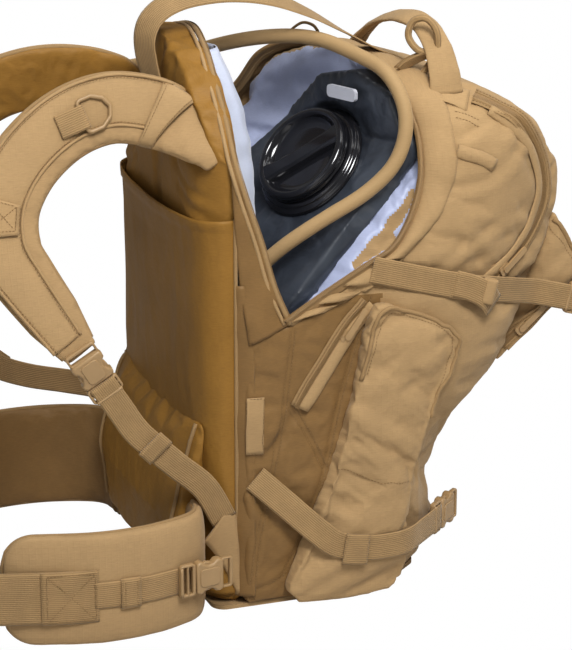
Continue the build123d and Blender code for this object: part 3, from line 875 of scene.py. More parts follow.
# seams and folds of the bag, carved after it is made finer
refine(bag)
bag.data.materials.append(lining)
bag.data.materials.append(side_satin)
lined = lined_faces(bag)
cloths = np.where(lined, 1, np.where(side_faces(bag), 2, 0))
bag.data.polygons.foreach_set("material_index", cloths.astype(np.int32))
rumple(bag, 62, 1.7, seed=1, stretch=(1, 0.8, 1.3))
rumple(bag, 26, 0.55, seed=2)
for seam in (rear_seam, cross_seam, pouch_seam, mirrored(rear_seam), mirrored(pouch_seam)):
    carve(bag, curve(seam, 2), 2.2, 1.4)
upper_folds = [
    [(143, 112, 393), (143, 128, 394), (140, 146, 398), (133, 165, 408), (126, 182, 424)],
    [(150, 76, 312), (150, 98, 325), (147, 126, 342), (134, 163, 357), (123, 190, 364)],
    [(150, 112, 318), (145, 134, 322), (138, 152, 330), (129, 172, 338)],
    [(138, 126, 440), (126, 150, 447), (112, 172, 452)],
    [(150, -52, 186), (150, -62, 168), (150, -80, 150)],
    [(150, -66, 128), (150, -52, 112), (150, -40, 98)],
    [(150, -90, 122), (150, -80, 104), (150, -72, 92)],
    [(146, 118, 232), (140, 140, 236), (132, 165, 232), (124, 186, 220)],
    [(146, 120, 200), (139, 142, 196), (131, 165, 182)],
]
for number, points in enumerate(upper_folds):
    for flip in (points, mirrored(points)):
        fold(bag, curve(flip, 3), 6.5, 3.4 - 0.3 * (number % 3))
placed(bag, "pack", ["main_compartment", "mouth_liner"])
bag_surface = tree_of(bag)

for points in (rear_seam, pouch_seam, cross_seam):
    for shift in (2.6, -2.6):
        beside = [(x, y + shift, z + 0.3 * shift) for x, y, z in points]
        stitch_on("pack", beside, bag_surface)
        stitch_on("pack", mirrored(beside), bag_surface)


# ---------------------------------------------------------------- mouth of the bag
forward = unit(np.array([0.28, -0.73, 0.62]))


def zip_teeth(body, path, looks, name, width=6.0, pitch=1.5):
    """A row of moulded coil loops along a path with surface normals."""
    verts, faces = [], []
    spine = resample(path, pitch / 1000)
    run, run_spine = run_lengths(path), run_lengths(spine)
    along = tangents(spine)
    for k, place in enumerate(spine):
        look = unit(along_run(looks, run, run_spine[k]))
        side = np.cross(along[k], look)
        base = len(verts)
        for a in (-0.32, 0.32):
            for across, up in ((-0.5, 0), (-0.32, 0.9), (0.32, 0.9), (0.5, 0)):
                verts.append(place + along[k] * a * pitch / 1000 + side * across * width / 1000
                             + look * up / 1000)
        faces += [(base, base + 1, base + 5, base + 4), (base + 1, base + 2, base + 6, base + 5),
                  (base + 2, base + 3, base + 7, base + 6), (base, base + 3, base + 2, base + 1),
                  (base + 4, base + 5, base + 6, base + 7)]
    return placed(add_mesh(name, verts, faces, zip_plastic, flat=True), body)


def ribbon_between(name, edge_a, edge_b, material, crown=3.0, columns=9, thick=1.2, crown_way=None, waves=0.0,
                   seed=0):
    """A sewn band of cloth between two curves of equal count, slightly puffed, as a thin closed shell."""
    count = len(edge_a)
    share = np.linspace(0, 1, columns)
    sheet = edge_a[:, None, :] * (1 - share)[None, :, None] + edge_b[:, None, :] * share[None, :, None]
    along = tangents((edge_a + edge_b) / 2)
    out = unit(np.cross(along, edge_b - edge_a))
    if crown_way is not None:
        way = unit(np.asarray(crown_way, float))
        out = np.where((out @ way)[:, None] < 0, -out, out)
    for i in range(count):
        for j in range(columns):
            lift = crown * math.sin(math.pi * share[j]) ** 0.7
            if waves:
                lift += waves * noise.noise(Vector(sheet[i, j]) * 30 + Vector((seed * 9.1, 0, 0)))
            sheet[i, j] += out[i] * lift / 1000
    back = sheet - out[:, None, :] * thick / 1000
    verts = np.concatenate([sheet, back[:, ::-1]], axis=1)
    faces = grid_faces(count, 2 * columns, wrap_columns=True)
    last = (count - 1) * 2 * columns
    for j in range(columns - 1):
        faces.append((j, 2 * columns - 1 - j, 2 * columns - 2 - j, j + 1))
        faces.append((last + j, last + j + 1, last + 2 * columns - 2 - j, last + 2 * columns - 1 - j))
    run = run_lengths(edge_a)
    uvs = np.stack(np.broadcast_arrays(run[:, None], np.concatenate([share, share[::-1]])[None, :] * 0.03),
                   axis=2)
    return add_mesh(name, verts.reshape(-1, 3), faces, material, uvs.reshape(-1, 2))


def bag_mouth():
    """The zip lip, the raised flange beside it and the binding of the open mouth."""
    lip = curve(lip_points, 4)
    out = unit(lip - np.array([0.02, 0.0, 0.36]) - forward * 0.02)
    top = lip + forward * 0.007
    band = ribbon_between("mouth_tape", lip - forward * 0.003, top, binding_cloth, crown=0.6, thick=1.4,
                          crown_way=(0, 0, 1))
    placed(band, "pack")
    rim = tube("mouth_binding", top, 0.0021, binding_cloth, 8)
    placed(rim, "pack")
    zip_teeth("pack", top + forward * 0.0016, np.repeat(forward[None, :], len(top), 0), "mouth_zip_teeth", 4.4)
    flange = resample(curve(flange_points, 4), 0.004)
    count = min(len(lip), len(flange))
    lip_even = spread(lip, count)
    raised, _ = snapped(spread(flange, count), bag_surface, 1.6)
    puff = ribbon_between("mouth_flange", lip_even + forward * 0.002, raised, pack_cloth, crown=4.5, columns=13,
                          thick=1.5, crown_way=(0, 0.6, 1), waves=3.0, seed=3)
    placed(puff, "pack")
    surface = tree_of(puff)
    for share in (0.10, 0.84):
        row, looks = snapped(lip_even * (1 - share) + raised * share, surface, 0.4)
        stitch("pack", row, looks)
    return lip, out


bag_mouth()


# ---------------------------------------------------------------- back panel
panel_lip = [
    (150, -53, 278), (150, -68, 313), (148, -80, 356), (145, -92, 394), (138, -101, 430), (117, -104, 470),
    (91, -104, 496), (48, -99, 519), (2, -95, 532), (-44, -95, 528), (-62, -97, 517), (-68, -99, 480),
    (-102, -99, 458), (-138, -99, 414), (-143, -98, 350),
]
refine(panel)
rumple(panel, 48, 1.5, seed=5, stretch=(1, 1, 0.7))
panel_folds = [
    [(60, -131, 420), (90, -131, 404), (128, -130, 396)], [(70, -131, 398), (104, -131, 384), (132, -128, 380)],
    [(20, -131, 440), (60, -131, 430), (112, -131, 442)],
]
for points in panel_folds:
    fold(panel, curve(points, 3), 6, 2.6)
    fold(panel, curve(mirrored(points), 3), 6, 2.6)
placed(panel, "pack", ["back_panel"])


def panel_mouth():
    """Double-piped lip of the panel with its zip teeth, and the gusset down to the zip's end."""
    lip = curve(panel_lip, 4)
    rim = tube("panel_binding", lip, 0.0026, binding_cloth, 8)
    placed(rim, "pack")
    second = lip + np.array([0.0005, -0.0058, 0.0005])
    placed(tube("panel_piping", second, 0.0019, plain_cloth, 8), "pack")
    zip_teeth("pack", lip + np.array([-0.001, 0.0030, 0.0006]), np.repeat([[0.3, 0.9, 0.3]], len(lip), 0),
              "panel_zip_teeth", 4.2)
    near_edge = spread(curve(panel_lip[:6], 4), 60)
    root = curve([(150, -93, 262), (146, -99, 310), (142, -102, 356), (140, -104, 394), (137, -106, 430),
                  (117, -109, 470)], 4)
    gusset = ribbon_between("panel_gusset_left", spread(root, 60), near_edge, side_satin, crown=2.0,
                            columns=15, thick=1.5, crown_way=(1, 0, 0), waves=6.0, seed=4)
    placed(gusset, "pack")


panel_mouth()


def side_gap(side, sign):
    """The gusset that closes the corner between the panel and the bag."""
    heights = list(range(12, 262, 20))
    front = curve([(140.2 * sign, -105, z) for z in heights] + [(140.4 * sign, -104, 318)], 4)
    rear = curve([(150.9 * sign, -88, z) for z in heights] + [(146.5 * sign, -96, 318)], 4)
    corner = ribbon_between(f"corner_gusset_{side}", front, rear, side_satin, crown=1.6, columns=12, thick=1.5,
                            crown_way=(sign, -0.3, 0), waves=2.0, seed=9)
    placed(corner, "pack")


side_gap("left", 1)
side_gap("right", -1)


def panel_bulge():
    """The pale lining of the panel, hanging in the mouth with soft folds."""
    rows, columns = 60, 50
    verts = []
    for i in range(rows):
        z = 296 + 222 * i / (rows - 1)
        half = np.interp(z, [296, 400, 440, 480, 518], [146, 143, 130, 100, 52])
        rise = math.sin(math.pi * min(1, (z - 280) / 260)) ** 0.6
        for j in range(columns):
            share = j / (columns - 1)
            x = half - share * 2 * half
            depth = np.interp(share, [0, 0.14, 0.3, 0.5, 0.72, 1], [2, 30, 36, 21, 6, 1]) * rise
            wrinkle = 2.2 * noise.noise(Vector((x * 0.03, z * 0.055, 2.0))) * min(1, depth / 8)
            front = np.interp(z, [296, 356, 430, 518], [-78, -84, -99, -99])
            keep = np.interp(share, [0, 0.2, 1], [1, 0, 0])
            y = (front * keep + -97 * (1 - keep)) + depth * (1 - 0.55 * keep) + wrinkle
            verts.append((x / 1000, y / 1000, z / 1000))
    inner = add_mesh("panel_lining", verts, grid_faces(rows, columns), pale_lining)
    thicken = inner.modifiers.new("thick", "SOLIDIFY")
    thicken.thickness = 0.0012
    apply_modifiers(inner)
    placed(shade_smooth(inner), "pack", ["panel_liner"])


panel_bulge()

# ---------------------------------------------------------------- reservoir
refine(bladder)
placed(bladder, "pack", ["reservoir_bladder"])


def lathe(name, profile, centre, axis, material, sides=96):
    """Turns (radius, height) points in mm about an axis through a centre."""
    axis = unit(np.asarray(axis, float))
    first = unit(np.cross(axis, [0.2, 0.3, 0.93]))
    second = np.cross(axis, first)
    verts = []
    for radius, height in profile:
        for k in range(sides):
            angle = 2 * math.pi * k / sides
            verts.append(centre + axis * height / 1000
                         + (first * math.cos(angle) + second * math.sin(angle)) * radius / 1000)
    faces = grid_faces(len(profile), sides, wrap_columns=True)
    return add_mesh(name, verts, faces, material)


cap_axis = unit(np.array([0.28, -0.73, 0.62]))
cap_seat = mm((40, -3, 413)) - cap_axis * 0.0201


def reservoir_fittings():
    """Threaded fill ring and the dished screw cap with its diagonal grip bar."""
    ring = lathe("fill_collar", [(40, 1), (40, 9), (51, 9), (53, 8.4), (54, 7), (54.6, 5.6), (56, 5),
                                 (57.6, 4.2), (58.6, 2.6), (59, 0.6), (58.4, -0.6), (45, -0.8)], cap_seat,
                 cap_axis, black_gloss)
    placed(ring, "pack", ["fill_ring"])
    cap = lathe("cap_shell", [
        (30, 9.6), (44, 9.5), (48.5, 9.6), (49.9, 10.6), (50, 12.4), (49.2, 13.0), (49.2, 13.9), (50, 14.6),
        (50, 17.2), (49.3, 19.4), (47.6, 20.9), (45.4, 21.4), (43.6, 21.0), (42.2, 19.6), (41.2, 17),
        (39.6, 14.4), (36.5, 12.7), (31, 11.9), (20, 11.5), (9, 11.4), (0.01, 11.4)], cap_seat, cap_axis,
        black_gloss)
    placed(cap, "cap", ["reservoir_cap"])
    along = unit(np.array([0.518, 0.66, 0.544]))
    across = np.cross(cap_axis, along)
    rows, columns = 41, 25
    verts = []
    for i in range(rows):
        s = -1 + 2 * i / (rows - 1)
        for j in range(columns):
            t = -1 + 2 * j / (columns - 1)
            half = 10.5 + 3.2 * s ** 4
            height = 20.4 - 1.6 * (1 - s * s) - 8.6 * max(0.0, abs(t) - 0.62) ** 1.5 / 0.38 ** 1.5
            verts.append(cap_seat + along * 43.6 * s / 1000 + across * half * t / 1000
                         + cap_axis * height / 1000)
    bar = add_mesh("cap_grip", verts, grid_faces(rows, columns), black_gloss)
    placed(bar, "cap")


reservoir_fittings()


# ---------------------------------------------------------------- panel face
def panel_sleeve():
    """Satin cover of the panel's lower part, wrapped round its edges, with a hemmed top."""
    plan = resample(curve([(-141, -103, 0), (-139, -117, 0), (-124, -130, 0), (-92, -135, 0), (0, -136.5, 0),
                           (92, -135, 0), (124, -130, 0), (139, -117, 0), (141, -103, 0)], 3), 0.003)
    rows = 110
    verts = []
    for i in range(rows):
        share = i / (rows - 1)
        for place in plan:
            x, y = place[0] * 1000, place[1] * 1000
            top = 374 + 5 * (x / 140) ** 2
            z = 14 + (top - 14) * share
            puff = 2.2 * noise.noise(Vector((x * 0.016, y * 0.03, z * 0.011)))
            puff += 1.5 * (1 - 2 * abs(noise.noise(Vector((x * 0.03 + 4, z * 0.013, 3.0)))))
            hem = 1.6 if z > top - 10 else 0.0
            gape = -4.0 * max(0.0, share - 0.9) / 0.1 * (1 - (x / 141) ** 2)
            verts.append(((x + (0.4 + hem * 0.5) * np.sign(x) * (abs(x) > 120)) / 1000,
                          (y - hem + gape - puff * 0.55 * min(1, (141 - abs(x)) / 30)) / 1000, z / 1000))
    cover = add_mesh("panel_sleeve_cloth", verts, grid_faces(rows, len(plan)), satin)
    thicken = cover.modifiers.new("thick", "SOLIDIFY")
    thicken.thickness = 0.0012
    thicken.offset = -1
    apply_modifiers(cover)
    placed(shade_smooth(cover), "pack", ["panel_sleeve"])
    surface = tree_of(cover)
    for drop in (9.5, 2.0):
        row = [(x, -140 + 30 * (abs(x) / 140) ** 4, 374 + 5 * (x / 140) ** 2 - drop)
               for x in range(-138, 139, 23)]
        stitch_on("pack", row, surface, lift=0.3)
    for flip in (1, -1):
        edge = curve([(141.5 * flip, -103, 14), (141.8 * flip, -102.5, 200), (141.5 * flip, -102.5, 380)], 5)
        placed(tube(f"panel_edge_piping_{'left' if flip > 0 else 'right'}", edge, 0.0021, binding_cloth, 8),
               "pack")


panel_sleeve()

refine(lumbar)
rumple(lumbar, 42, 1.3, seed=8, stretch=(1.2, 1, 0.7))
placed(lumbar, "pack", ["lumbar_pad"])
for flip in (1, -1):
    rim = curve([(119 * flip, -133, 180), (120 * flip, -148, 132), (120 * flip, -158, 84),
                 (119 * flip, -156, 30)], 4)
    rim, _ = snapped(rim, tree_of(lumbar), 0.8)
    placed(tube(f"lumbar_piping_{'left' if flip > 0 else 'right'}", rim, 0.002, binding_cloth, 8),
           "pack")


# ---------------------------------------------------------------- pouches and pockets
def tape_on(name, points, surface, width, thick, material, lift=0.0, crown=0.0):
    """A flat tape laid on a surface, facing along its normals."""
    path, looks = snapped(curve(points, 4), surface, lift + thick / 2)
    path = resample(path, 0.004)
    looks = spread(looks, len(path))
    for _ in range(6):
        looks[1:-1] = (looks[:-2] + looks[1:-1] + looks[2:]) / 3
        path[1:-1] = (path[:-2] + 2 * path[1:-1] + path[2:]) / 4
    across = np.cross(unit(looks), tangents(path))
    piece = extrude_section(name, path, across, strap_section(width / 1000, thick / 1000, crown=crown / 1000),
                            material)
    return piece, path, unit(looks)


def zipper(name, points, surface, tape=20.0, lift=0.6):
    """Zip tape, its coil, and a stitched row each side."""
    band, path, looks = tape_on(f"{name}_tape", points, surface, tape, 1.3, binding_cloth, lift=lift)
    placed(band, "pack")
    coil_path = path + looks * 0.0008
    zip_teeth("pack", coil_path, looks, f"{name}_coil", 5.4)
    side = np.cross(looks, tangents(path))
    for shift in (-1, 1):
        edge = path + side * shift * tape * 0.36 / 1000 + looks * 0.0010
        stitch("pack", edge, looks)
        cord = path + side * shift * tape * 0.24 / 1000 + looks * 0.0006
        lip = tube(f"{name}_lip_{'a' if shift < 0 else 'b'}", cord, 0.0011, binding_cloth, 6)
        placed(lip, "pack")
    return band


def pockets():
    """Folds, pipings, zips and flaps of the side pouches and the front pocket."""
    for piece, side, sign in ((pouch_left, "left", 1), (pouch_right, "right", -1)):
        refine(piece)
        rumple(piece, 46, 1.6, seed=11 + sign, stretch=(1, 0.8, 1.3))
        rumple(piece, 22, 0.4, seed=12)
        x = 166 * sign
        seam = [(x, -20, 134), (x, -2, 130), (x, 21, 121), (x, 44, 115), (x, 64, 112)]
        carve(piece, curve(seam, 2), 2.0, 1.5)
        for points in ([(x, 100, 228), (x, 80, 216), (x, 62, 218), (x, 50, 230)],
                       [(x, 12, 200), (x, 30, 186), (x, 46, 178)], [(x, -20, 108), (x, 4, 98), (x, 30, 100)]):
            fold(piece, curve(points, 3), 8, 2.6)
        placed(piece, "pack", [f"side_pouch_{side}"])
        surface = tree_of(piece)
        rim_points = [(x, 12, 222), (x, 20, 250), (x, 26, 276), (x, 33, 286), (x, 44, 289), (x, 64, 284),
                      (x, 86, 275), (x, 102, 266), (x, 112, 254), (x, 113, 241), (x, 106, 222), (x, 96, 198),
                      (x, 84, 176)]
        rim, _ = snapped(curve(rim_points, 3), surface, 0.6)
        piping = tube(f"pouch_piping_{side}", resample(rim, 0.004), 0.0022, binding_cloth, 8)
        placed(piping, "pack")
        stitch_on("pack", [(y0, y, z + 3) for y0, y, z in seam], surface)
        inner = [(x, 18, 226), (x, 31, 270), (x, 37, 280), (x, 46, 282), (x, 64, 277), (x, 84, 268),
                 (x, 98, 259), (x, 105, 248), (x, 98, 222), (x, 88, 198)]
        stitch_on("pack", inner, surface)
        zip_points = side_zip if sign > 0 else mirrored(side_zip)
        band = zipper(f"side_zip_{side}", zip_points, bag_surface, 15)
        placed(band, "pack")
        shift = [(px + 3.6 * sign, y + 6, z - 3) for px, y, z in zip_points]
        flap, _, _ = tape_on(f"side_zip_flap_{side}", shift, bag_surface, 12, 1.6, pack_cloth, lift=1.2,
                             crown=2.2)
        placed(flap, "pack")

    refine(front_pocket)
    rumple(front_pocket, 50, 2.0, seed=15)
    rumple(front_pocket, 24, 0.5, seed=16)
    for flip in (1, -1):
        x = 97 * flip
        fold(front_pocket, curve([(x, 206, 250), (x, 226, 268), (x, 248, 290)], 3), 7, 2.4)
        fold(front_pocket, curve([(x, 214, 276), (x, 232, 292), (x, 250, 306)], 3), 7, 2.0)
    placed(front_pocket, "pack", ["front_pocket"])
    surface = tree_of(front_pocket)
    for flip, side in ((1, "left"), (-1, "right")):
        x = 97 * flip
        corner = [(x, 239, 340), (x, 254, 318), (x, 263, 304), (x, 268, 290), (x, 265, 276), (x, 252, 262)]
        rim, _ = snapped(curve(corner, 3), surface, 0.8)
        piping = tube(f"pocket_piping_{side}", resample(rim, 0.004), 0.0024, binding_cloth, 8)
        placed(piping, "pack")
        stitch_on("pack", [(px, y - 7, z - 3) for px, y, z in corner], surface)
        zipper(f"pocket_zip_{side}", [(x, 188, 217), (x, 208, 235), (x, 228, 253), (x, 250, 272)], surface, 17)
        zipper(f"main_zip_{side}", main_zip if flip > 0 else mirrored(main_zip), bag_surface, 21)
        flap_line = main_zip if flip > 0 else mirrored(main_zip)
        inner = [(px + 2 * flip, y - 12, z - 1) for px, y, z in flap_line[1:-1]]
        flap, _, _ = tape_on(f"main_zip_flap_{side}", inner, bag_surface, 11, 1.6, pack_cloth, lift=0.8,
                             crown=1.6)
        placed(flap, "pack")
    zipped, _, _ = tape_on("top_zip_band", top_zip, bag_surface, 13, 1.6, pack_cloth, lift=0.6, crown=2.4)
    placed(zipped, "pack", ["zipper_chains"])
    stitch_on("pack", [(117, 122, 457), (120, 132, 454), (124, 146, 449)], bag_surface)
    stitch_on("pack", [(121, 121, 452), (124, 132, 449), (128, 146, 443)], bag_surface)
    patch, _, _ = tape_on("side_patch", [(150, -87, 211), (150, -88, 182), (150, -88, 156)], bag_surface, 17,
                          1.0, plain_cloth, lift=0.3)
    placed(patch, "pack")
    frame_row = [patch_corners[k % 4] for k in range(5)]
    stitch_on("pack", frame_row[:2], bag_surface, lift=1.5)
    for a, b in zip(frame_row, frame_row[1:]):
        stitch_on("pack", [a, b], bag_surface, lift=1.5)


pockets()


# ---------------------------------------------------------------- webbing and harness
def tack(body, path, looks, across, width, at, length):
    """A stitched box with a cross on webbing; `at` and `length` in mm along the path."""
    run = run_lengths(path) * 1000
    rows = []
    half = width / 2 - 3
    marks = [(at, -half), (at, half), (at + length, half), (at + length, -half), (at, -half),
             (at + length, half), (at, half), (at + length, -half)]
    for s, v in marks:
        side, look = unit(along_run(across, run, s)), unit(along_run(looks, run, s))
        rows.append((along_run(path, run, s) + side * v / 1000 + look * 0.0012, look))
    for (a, look_a), (b, _) in zip(rows, rows[1:]):
        line = np.linspace(a, b, max(3, int(np.linalg.norm(b - a) * 1000 / 3)))
        stitch(body, line, np.repeat(look_a[None, :], len(line), 0))


shoulder = {
    "left": (lambda y, z: (152 - 0.30 * (z - 271), y, z), (0.958, 0, 0.287),
             [(-150, 467), (-172, 476), (-202, 480), (-232, 474), (-260, 460), (-286, 438),
              (-304, 412), (-311, 388), (-309, 362), (-296, 339), (-276, 308), (-252, 272)]),
    "right": (lambda y, z: (-140 + 0.24 * (z - 270), y, z), (-0.972, 0, 0.233),
              [(-150, 462), (-174, 471), (-206, 476), (-238, 474), (-270, 464),
               (-298, 444), (-318, 414), (-325, 384), (-323, 352), (-316, 318), (-306, 274)]),
}
strap_mouths = {
    "left": ((156, -237, 246), (-0.089, 0.528, -0.845), (1, 0, -0.105)),
    "right": ((-143, -298, 242), (-0.06, 0.30, -0.952), (-1, 0, 0.063)),
}


def shoulder_strap(side):
    """Contoured pad with a raised cover, bound edges, a keeper over its root and a stitched patch."""
    place, outer, points = shoulder[side]
    inner_edge = 1 if side == "left" else -1
    flip = 1 if side == "left" else -1
    root = [(127 * flip, -111, 431), (118 * flip, -122, 447)]
    path = curve(root + [place(y, z) for y, z in points], 3)
    count = len(path)
    share = np.linspace(0, 1, count)
    outer = spread(outer, count)
    half = np.interp(share, [0, 0.06, 0.16, 0.72, 0.90, 1], [15, 23, 31, 30, 24, 15]) / 1000
    thick = np.interp(share, [0, 0.08, 0.9, 1], [5, 7, 6.5, 4]) / 1000
    pad, _, side_way, out = pad_along(f"shoulder_pad_{side}", path, np.cross(outer, tangents(path)), half,
                                      thick, plain_cloth, power=2.9, ring=40)
    refine(pad)
    tree = nearest_tree(path)
    places, looks = corners(pad), normals(pad)
    nearest = np.array([tree.find(spot)[1] for spot in places])
    sideways = ((places - path[nearest]) * side_way[nearest]).sum(1) / half[nearest] * inner_edge
    under = np.clip(-(looks * out[nearest]).sum(1), 0, 1)
    rumple(pad, 15, 2.4, seed=21, stretch=(1, 1, 1), where=np.clip(sideways * 1.5 - 0.9, 0, 1))
    rumple(pad, 24, 2.6, seed=24, stretch=(1, 1, 1), where=under * np.clip(1 - sideways ** 2, 0, 1))
    rumple(pad, 34, 1.2, seed=22)
    pad.data.materials.append(satin)
    centres, faces_out = face_rows(pad)
    nearest = np.array([tree.find(spot)[1] for spot in centres])
    inward = (faces_out * out[nearest]).sum(1) < -0.3
    pad.data.polygons.foreach_set("material_index", inward.astype(np.int32))
    placed(pad, "pack", [f"shoulder_strap_{side}"])
    for flip in (1, -1):
        edge = path + side_way * (half * 0.985)[:, None] * flip
        binding = tube(f"shoulder_binding_{side}_{'a' if flip > 0 else 'b'}", edge[3:-2], 0.0024,
                       binding_cloth, 8)
        placed(binding, "pack")

    keep = slice(int(count * 0.175), int(count * 0.97))
    shift = -inner_edge * 0.006
    cover_way = side_way[keep]
    cover_path = (path + out * (thick * 0.98)[:, None] + side_way * shift)[keep]
    wide = np.interp(share[keep], [0.17, 0.75, 1], [0.046, 0.042, 0.028])
    edges = [cover_path + cover_way * (wide / 2)[:, None] * flip for flip in (1, -1)]
    cover = ribbon_between(f"shoulder_cover_{side}", edges[0], edges[1], pack_cloth, crown=2.4, columns=13,
                           thick=2.0, crown_way=tuple(outer[0]), waves=1.0, seed=6)
    placed(cover, "pack")
    for flip in (1, -1):
        row = cover_path + cover_way * (wide / 2 - 0.0026)[:, None] * flip + out[keep] * 0.0026
        stitch("pack", row, out[keep])
        rise = cover_path + cover_way * (wide / 2)[:, None] * flip + out[keep] * 0.0008
        placed(tube(f"shoulder_fold_{side}_{'a' if flip > 0 else 'b'}", rise, 0.0016, plain_cloth, 8), "pack")

    band = np.linspace(-1, 1, 24)
    steps = np.arange(count)
    swellup = np.sqrt(np.clip(1 - np.abs(band) ** 3.2, 0, 1))
    rows = []
    for start in (0.135, 0.205):
        at = (start + 0.016 * inner_edge * band) * (count - 1)
        spot, way, look = [along_run(values, steps, at) for values in (path, side_way, out)]
        wide, deep = np.interp(at, steps, half) + 0.0016, np.interp(at, steps, thick) + 0.0054
        rows.append(spot + unit(way) * (wide * band)[:, None] + unit(look) * (deep * swellup)[:, None])
    keeper = ribbon_between(f"shoulder_keeper_{side}", rows[0], rows[1], pack_cloth, crown=0.8, columns=8,
                            thick=2.2, crown_way=tuple(outer[0]))
    placed(keeper, "pack")
    for row, other in (rows, rows[::-1]):
        stitch("pack", (row * 0.9 + other * 0.1)[2:-2] + unit(look)[2:-2] * 0.0014, unit(look)[2:-2])

    at = int(count * 0.62)
    tab = slice(at, at + 11)
    tab_path = path[tab] + out[tab] * (thick[tab] + 0.0042)[:, None] + side_way[tab] * shift
    patch = extrude_section(f"shoulder_patch_{side}", tab_path, side_way[tab], strap_section(0.034, 0.0018, 8),
                            plain_cloth)
    placed(patch, "pack")
    tack("pack", tab_path, out[tab], side_way[tab], 34, 2, 26)


for side in ("left", "right"):
    shoulder_strap(side)


def ring_loop(side, seat, back, look, axis):
    """The folded webbing tab that holds a D-ring, with its stitched tail."""
    seat, back, look = mm(seat), unit(np.array(back)), unit(np.array(look))
    spots = [seat - back * 0.024 - look * 0.0014, seat - back * 0.014 + look * 0.0002, seat - back * 0.004
             + look * 0.0024, seat + back * 0.0010 + look * 0.0030, seat + back * 0.0034 + look * 0.0006,
             seat + back * 0.0024 - look * 0.0018]
    tab = webbing(f"ring_tab_{side}", np.array(spots) * 1000, axis, web_cloth, 22, 1.8, 1.5)
    placed(tab, "pack", ["ring_loops"] if side == "left" else [])
    path = np.array(spots[:2]) + look * 0.0012
    half_row = unit(np.array(axis)) * 0.010
    stitch("pack", np.linspace(path[0] + half_row, path[0] - half_row, 10), np.repeat(look[None, :], 10, 0))


ring_loop("left", (102.3, -232.2, 475.7), (-0.093, 0.946, 0.310), (0.958, 0, 0.287), (0.272, 0.324, -0.906))
ring_loop("right", (-102.05, -237.7, 476.1), (0.032, 0.991, 0.132), (-0.972, 0, 0.233), (0.231, -0.136, 0.963))


def wing(side, sign):
    """Hip wing with satin inside, belt webbing, stabiliser webbing and its keeper."""
    body = f"wing_{side}"
    path = curve([(120 * sign, -143, 57.5), (150 * sign, -146, 57.5), (168 * sign, -162, 57.5),
                  (182 * sign, -205, 57.5), (183 * sign, -250, 57.5), (172 * sign, -296, 57.5),
                  (160 * sign, -333, 57.5)], 4)
    count = len(path)
    left = (run_lengths(path)[-1] - run_lengths(path)) * 1000
    round_end = np.minimum(left, 30)
    half = (52.5 - 30 + np.sqrt(30 ** 2 - (30 - round_end) ** 2)) / 1000
    thick = np.interp(left, [0, 10, 60], [3.0, 6.5, 8.5]) / 1000
    pad, _, up, out = pad_along(f"hip_wing_{side}_cloth", path, spread((0, 0, 1), count), half, thick,
                                    pack_cloth, power=3.6, ring=56)
    refine(pad)
    way = np.array([1.0 if n[0] * sign < 0 else 0.35 for n in normals(pad)])
    rumple(pad, 40, 1.6, seed=31 + sign, stretch=(1, 1, 0.6), where=way)
    rumple(pad, 16, 0.5, seed=33, where=way)
    pad.data.materials.append(side_satin)
    middle, faces_in = face_rows(pad)
    tree = nearest_tree(path)
    inner = []
    for k in range(len(middle)):
        near_path = tree.find(Vector((middle[k][0], middle[k][1], 0.0575)))[1]
        inner.append(float(faces_in[k] @ out[near_path]) * sign > 0.3)
    pad.data.polygons.foreach_set("material_index", np.array(inner, np.int32))
    placed(pad, body, [f"hip_wing_{side}"])
    surface = tree_of(pad)
    rim = np.array([path[k] + up[k] * half[k] * 0.99 for k in range(count)]
                   + [path[k] - up[k] * half[k] * 0.99 for k in range(count - 1, -1, -1)])
    rim = resample(rim, 0.004) - np.array([0.002 * sign, 0, 0])
    placed(tube(f"wing_binding_{side}", rim, 0.0022, binding_cloth, 8), body)

    belt = curve([(189.5 * sign, -252, 54), (186 * sign, -280, 54), (172.5 * sign, -331, 54),
                  (163 * sign, -354, 54), (146 * sign, -367, 54), (122 * sign, -368.5, 54)], 4)
    up_way = spread((0, 0, 1), len(belt))
    look = unit(np.cross(up_way, tangents(belt))) * -sign
    look = np.where((look @ np.array([sign, 0, 0]))[:, None] < 0, -look, look)
    strap = extrude_section(f"belt_web_{side}_cloth", belt + look * 0.0006, up_way,
                            strap_section(BELT_WIDTH, 0.0019, 16), web_cloth)
    placed(strap, body, [f"belt_web_{side}"])
    top = extrude_section(f"belt_overlay_{side}", (belt + look * 0.0024)[:14], up_way[:14],
                          strap_section(BELT_WIDTH, 0.0017, 16), web_cloth)
    placed(top, body)
    tack(body, belt + look * 0.0033, look, up_way, 50.8, 3, 44)

    thin = [(179 * sign, -176, 54), (187 * sign, -205, 54), (191 * sign, -232, 54), (191 * sign, -256, 54)]
    band, _, _ = tape_on(f"stabiliser_web_{side}_cloth", thin, surface, ONE_INCH, 1.8, web_cloth, lift=0.4)
    placed(band, body, [f"stabiliser_web_{side}"])
    loop, loop_path, loop_looks = tape_on(f"elastic_keeper_{side}",
                                          [(189 * sign, -214, 54), (190 * sign, -232, 54)], surface, 29, 4.2,
                                          web_cloth, lift=0.4)
    placed(loop, body)
    side_way = np.cross(loop_looks, tangents(loop_path))
    for end in (1, len(loop_path) - 2):
        row = np.linspace(loop_path[end] + side_way[end] * 0.013, loop_path[end] - side_way[end] * 0.013, 12)
        stitch(body, row + loop_looks[end] * 0.0024, np.repeat(loop_looks[end][None, :], 12, 0))


for side, sign in SIDES:
    wing(side, sign)


def mouth_frame(mouth, out, face):
    """Directions of a buckle: out of the socket, its outer face, and across."""
    out, face = unit(np.array(out, float)), unit(np.array(face, float))
    return mm(mouth), out, face, np.cross(face, out)


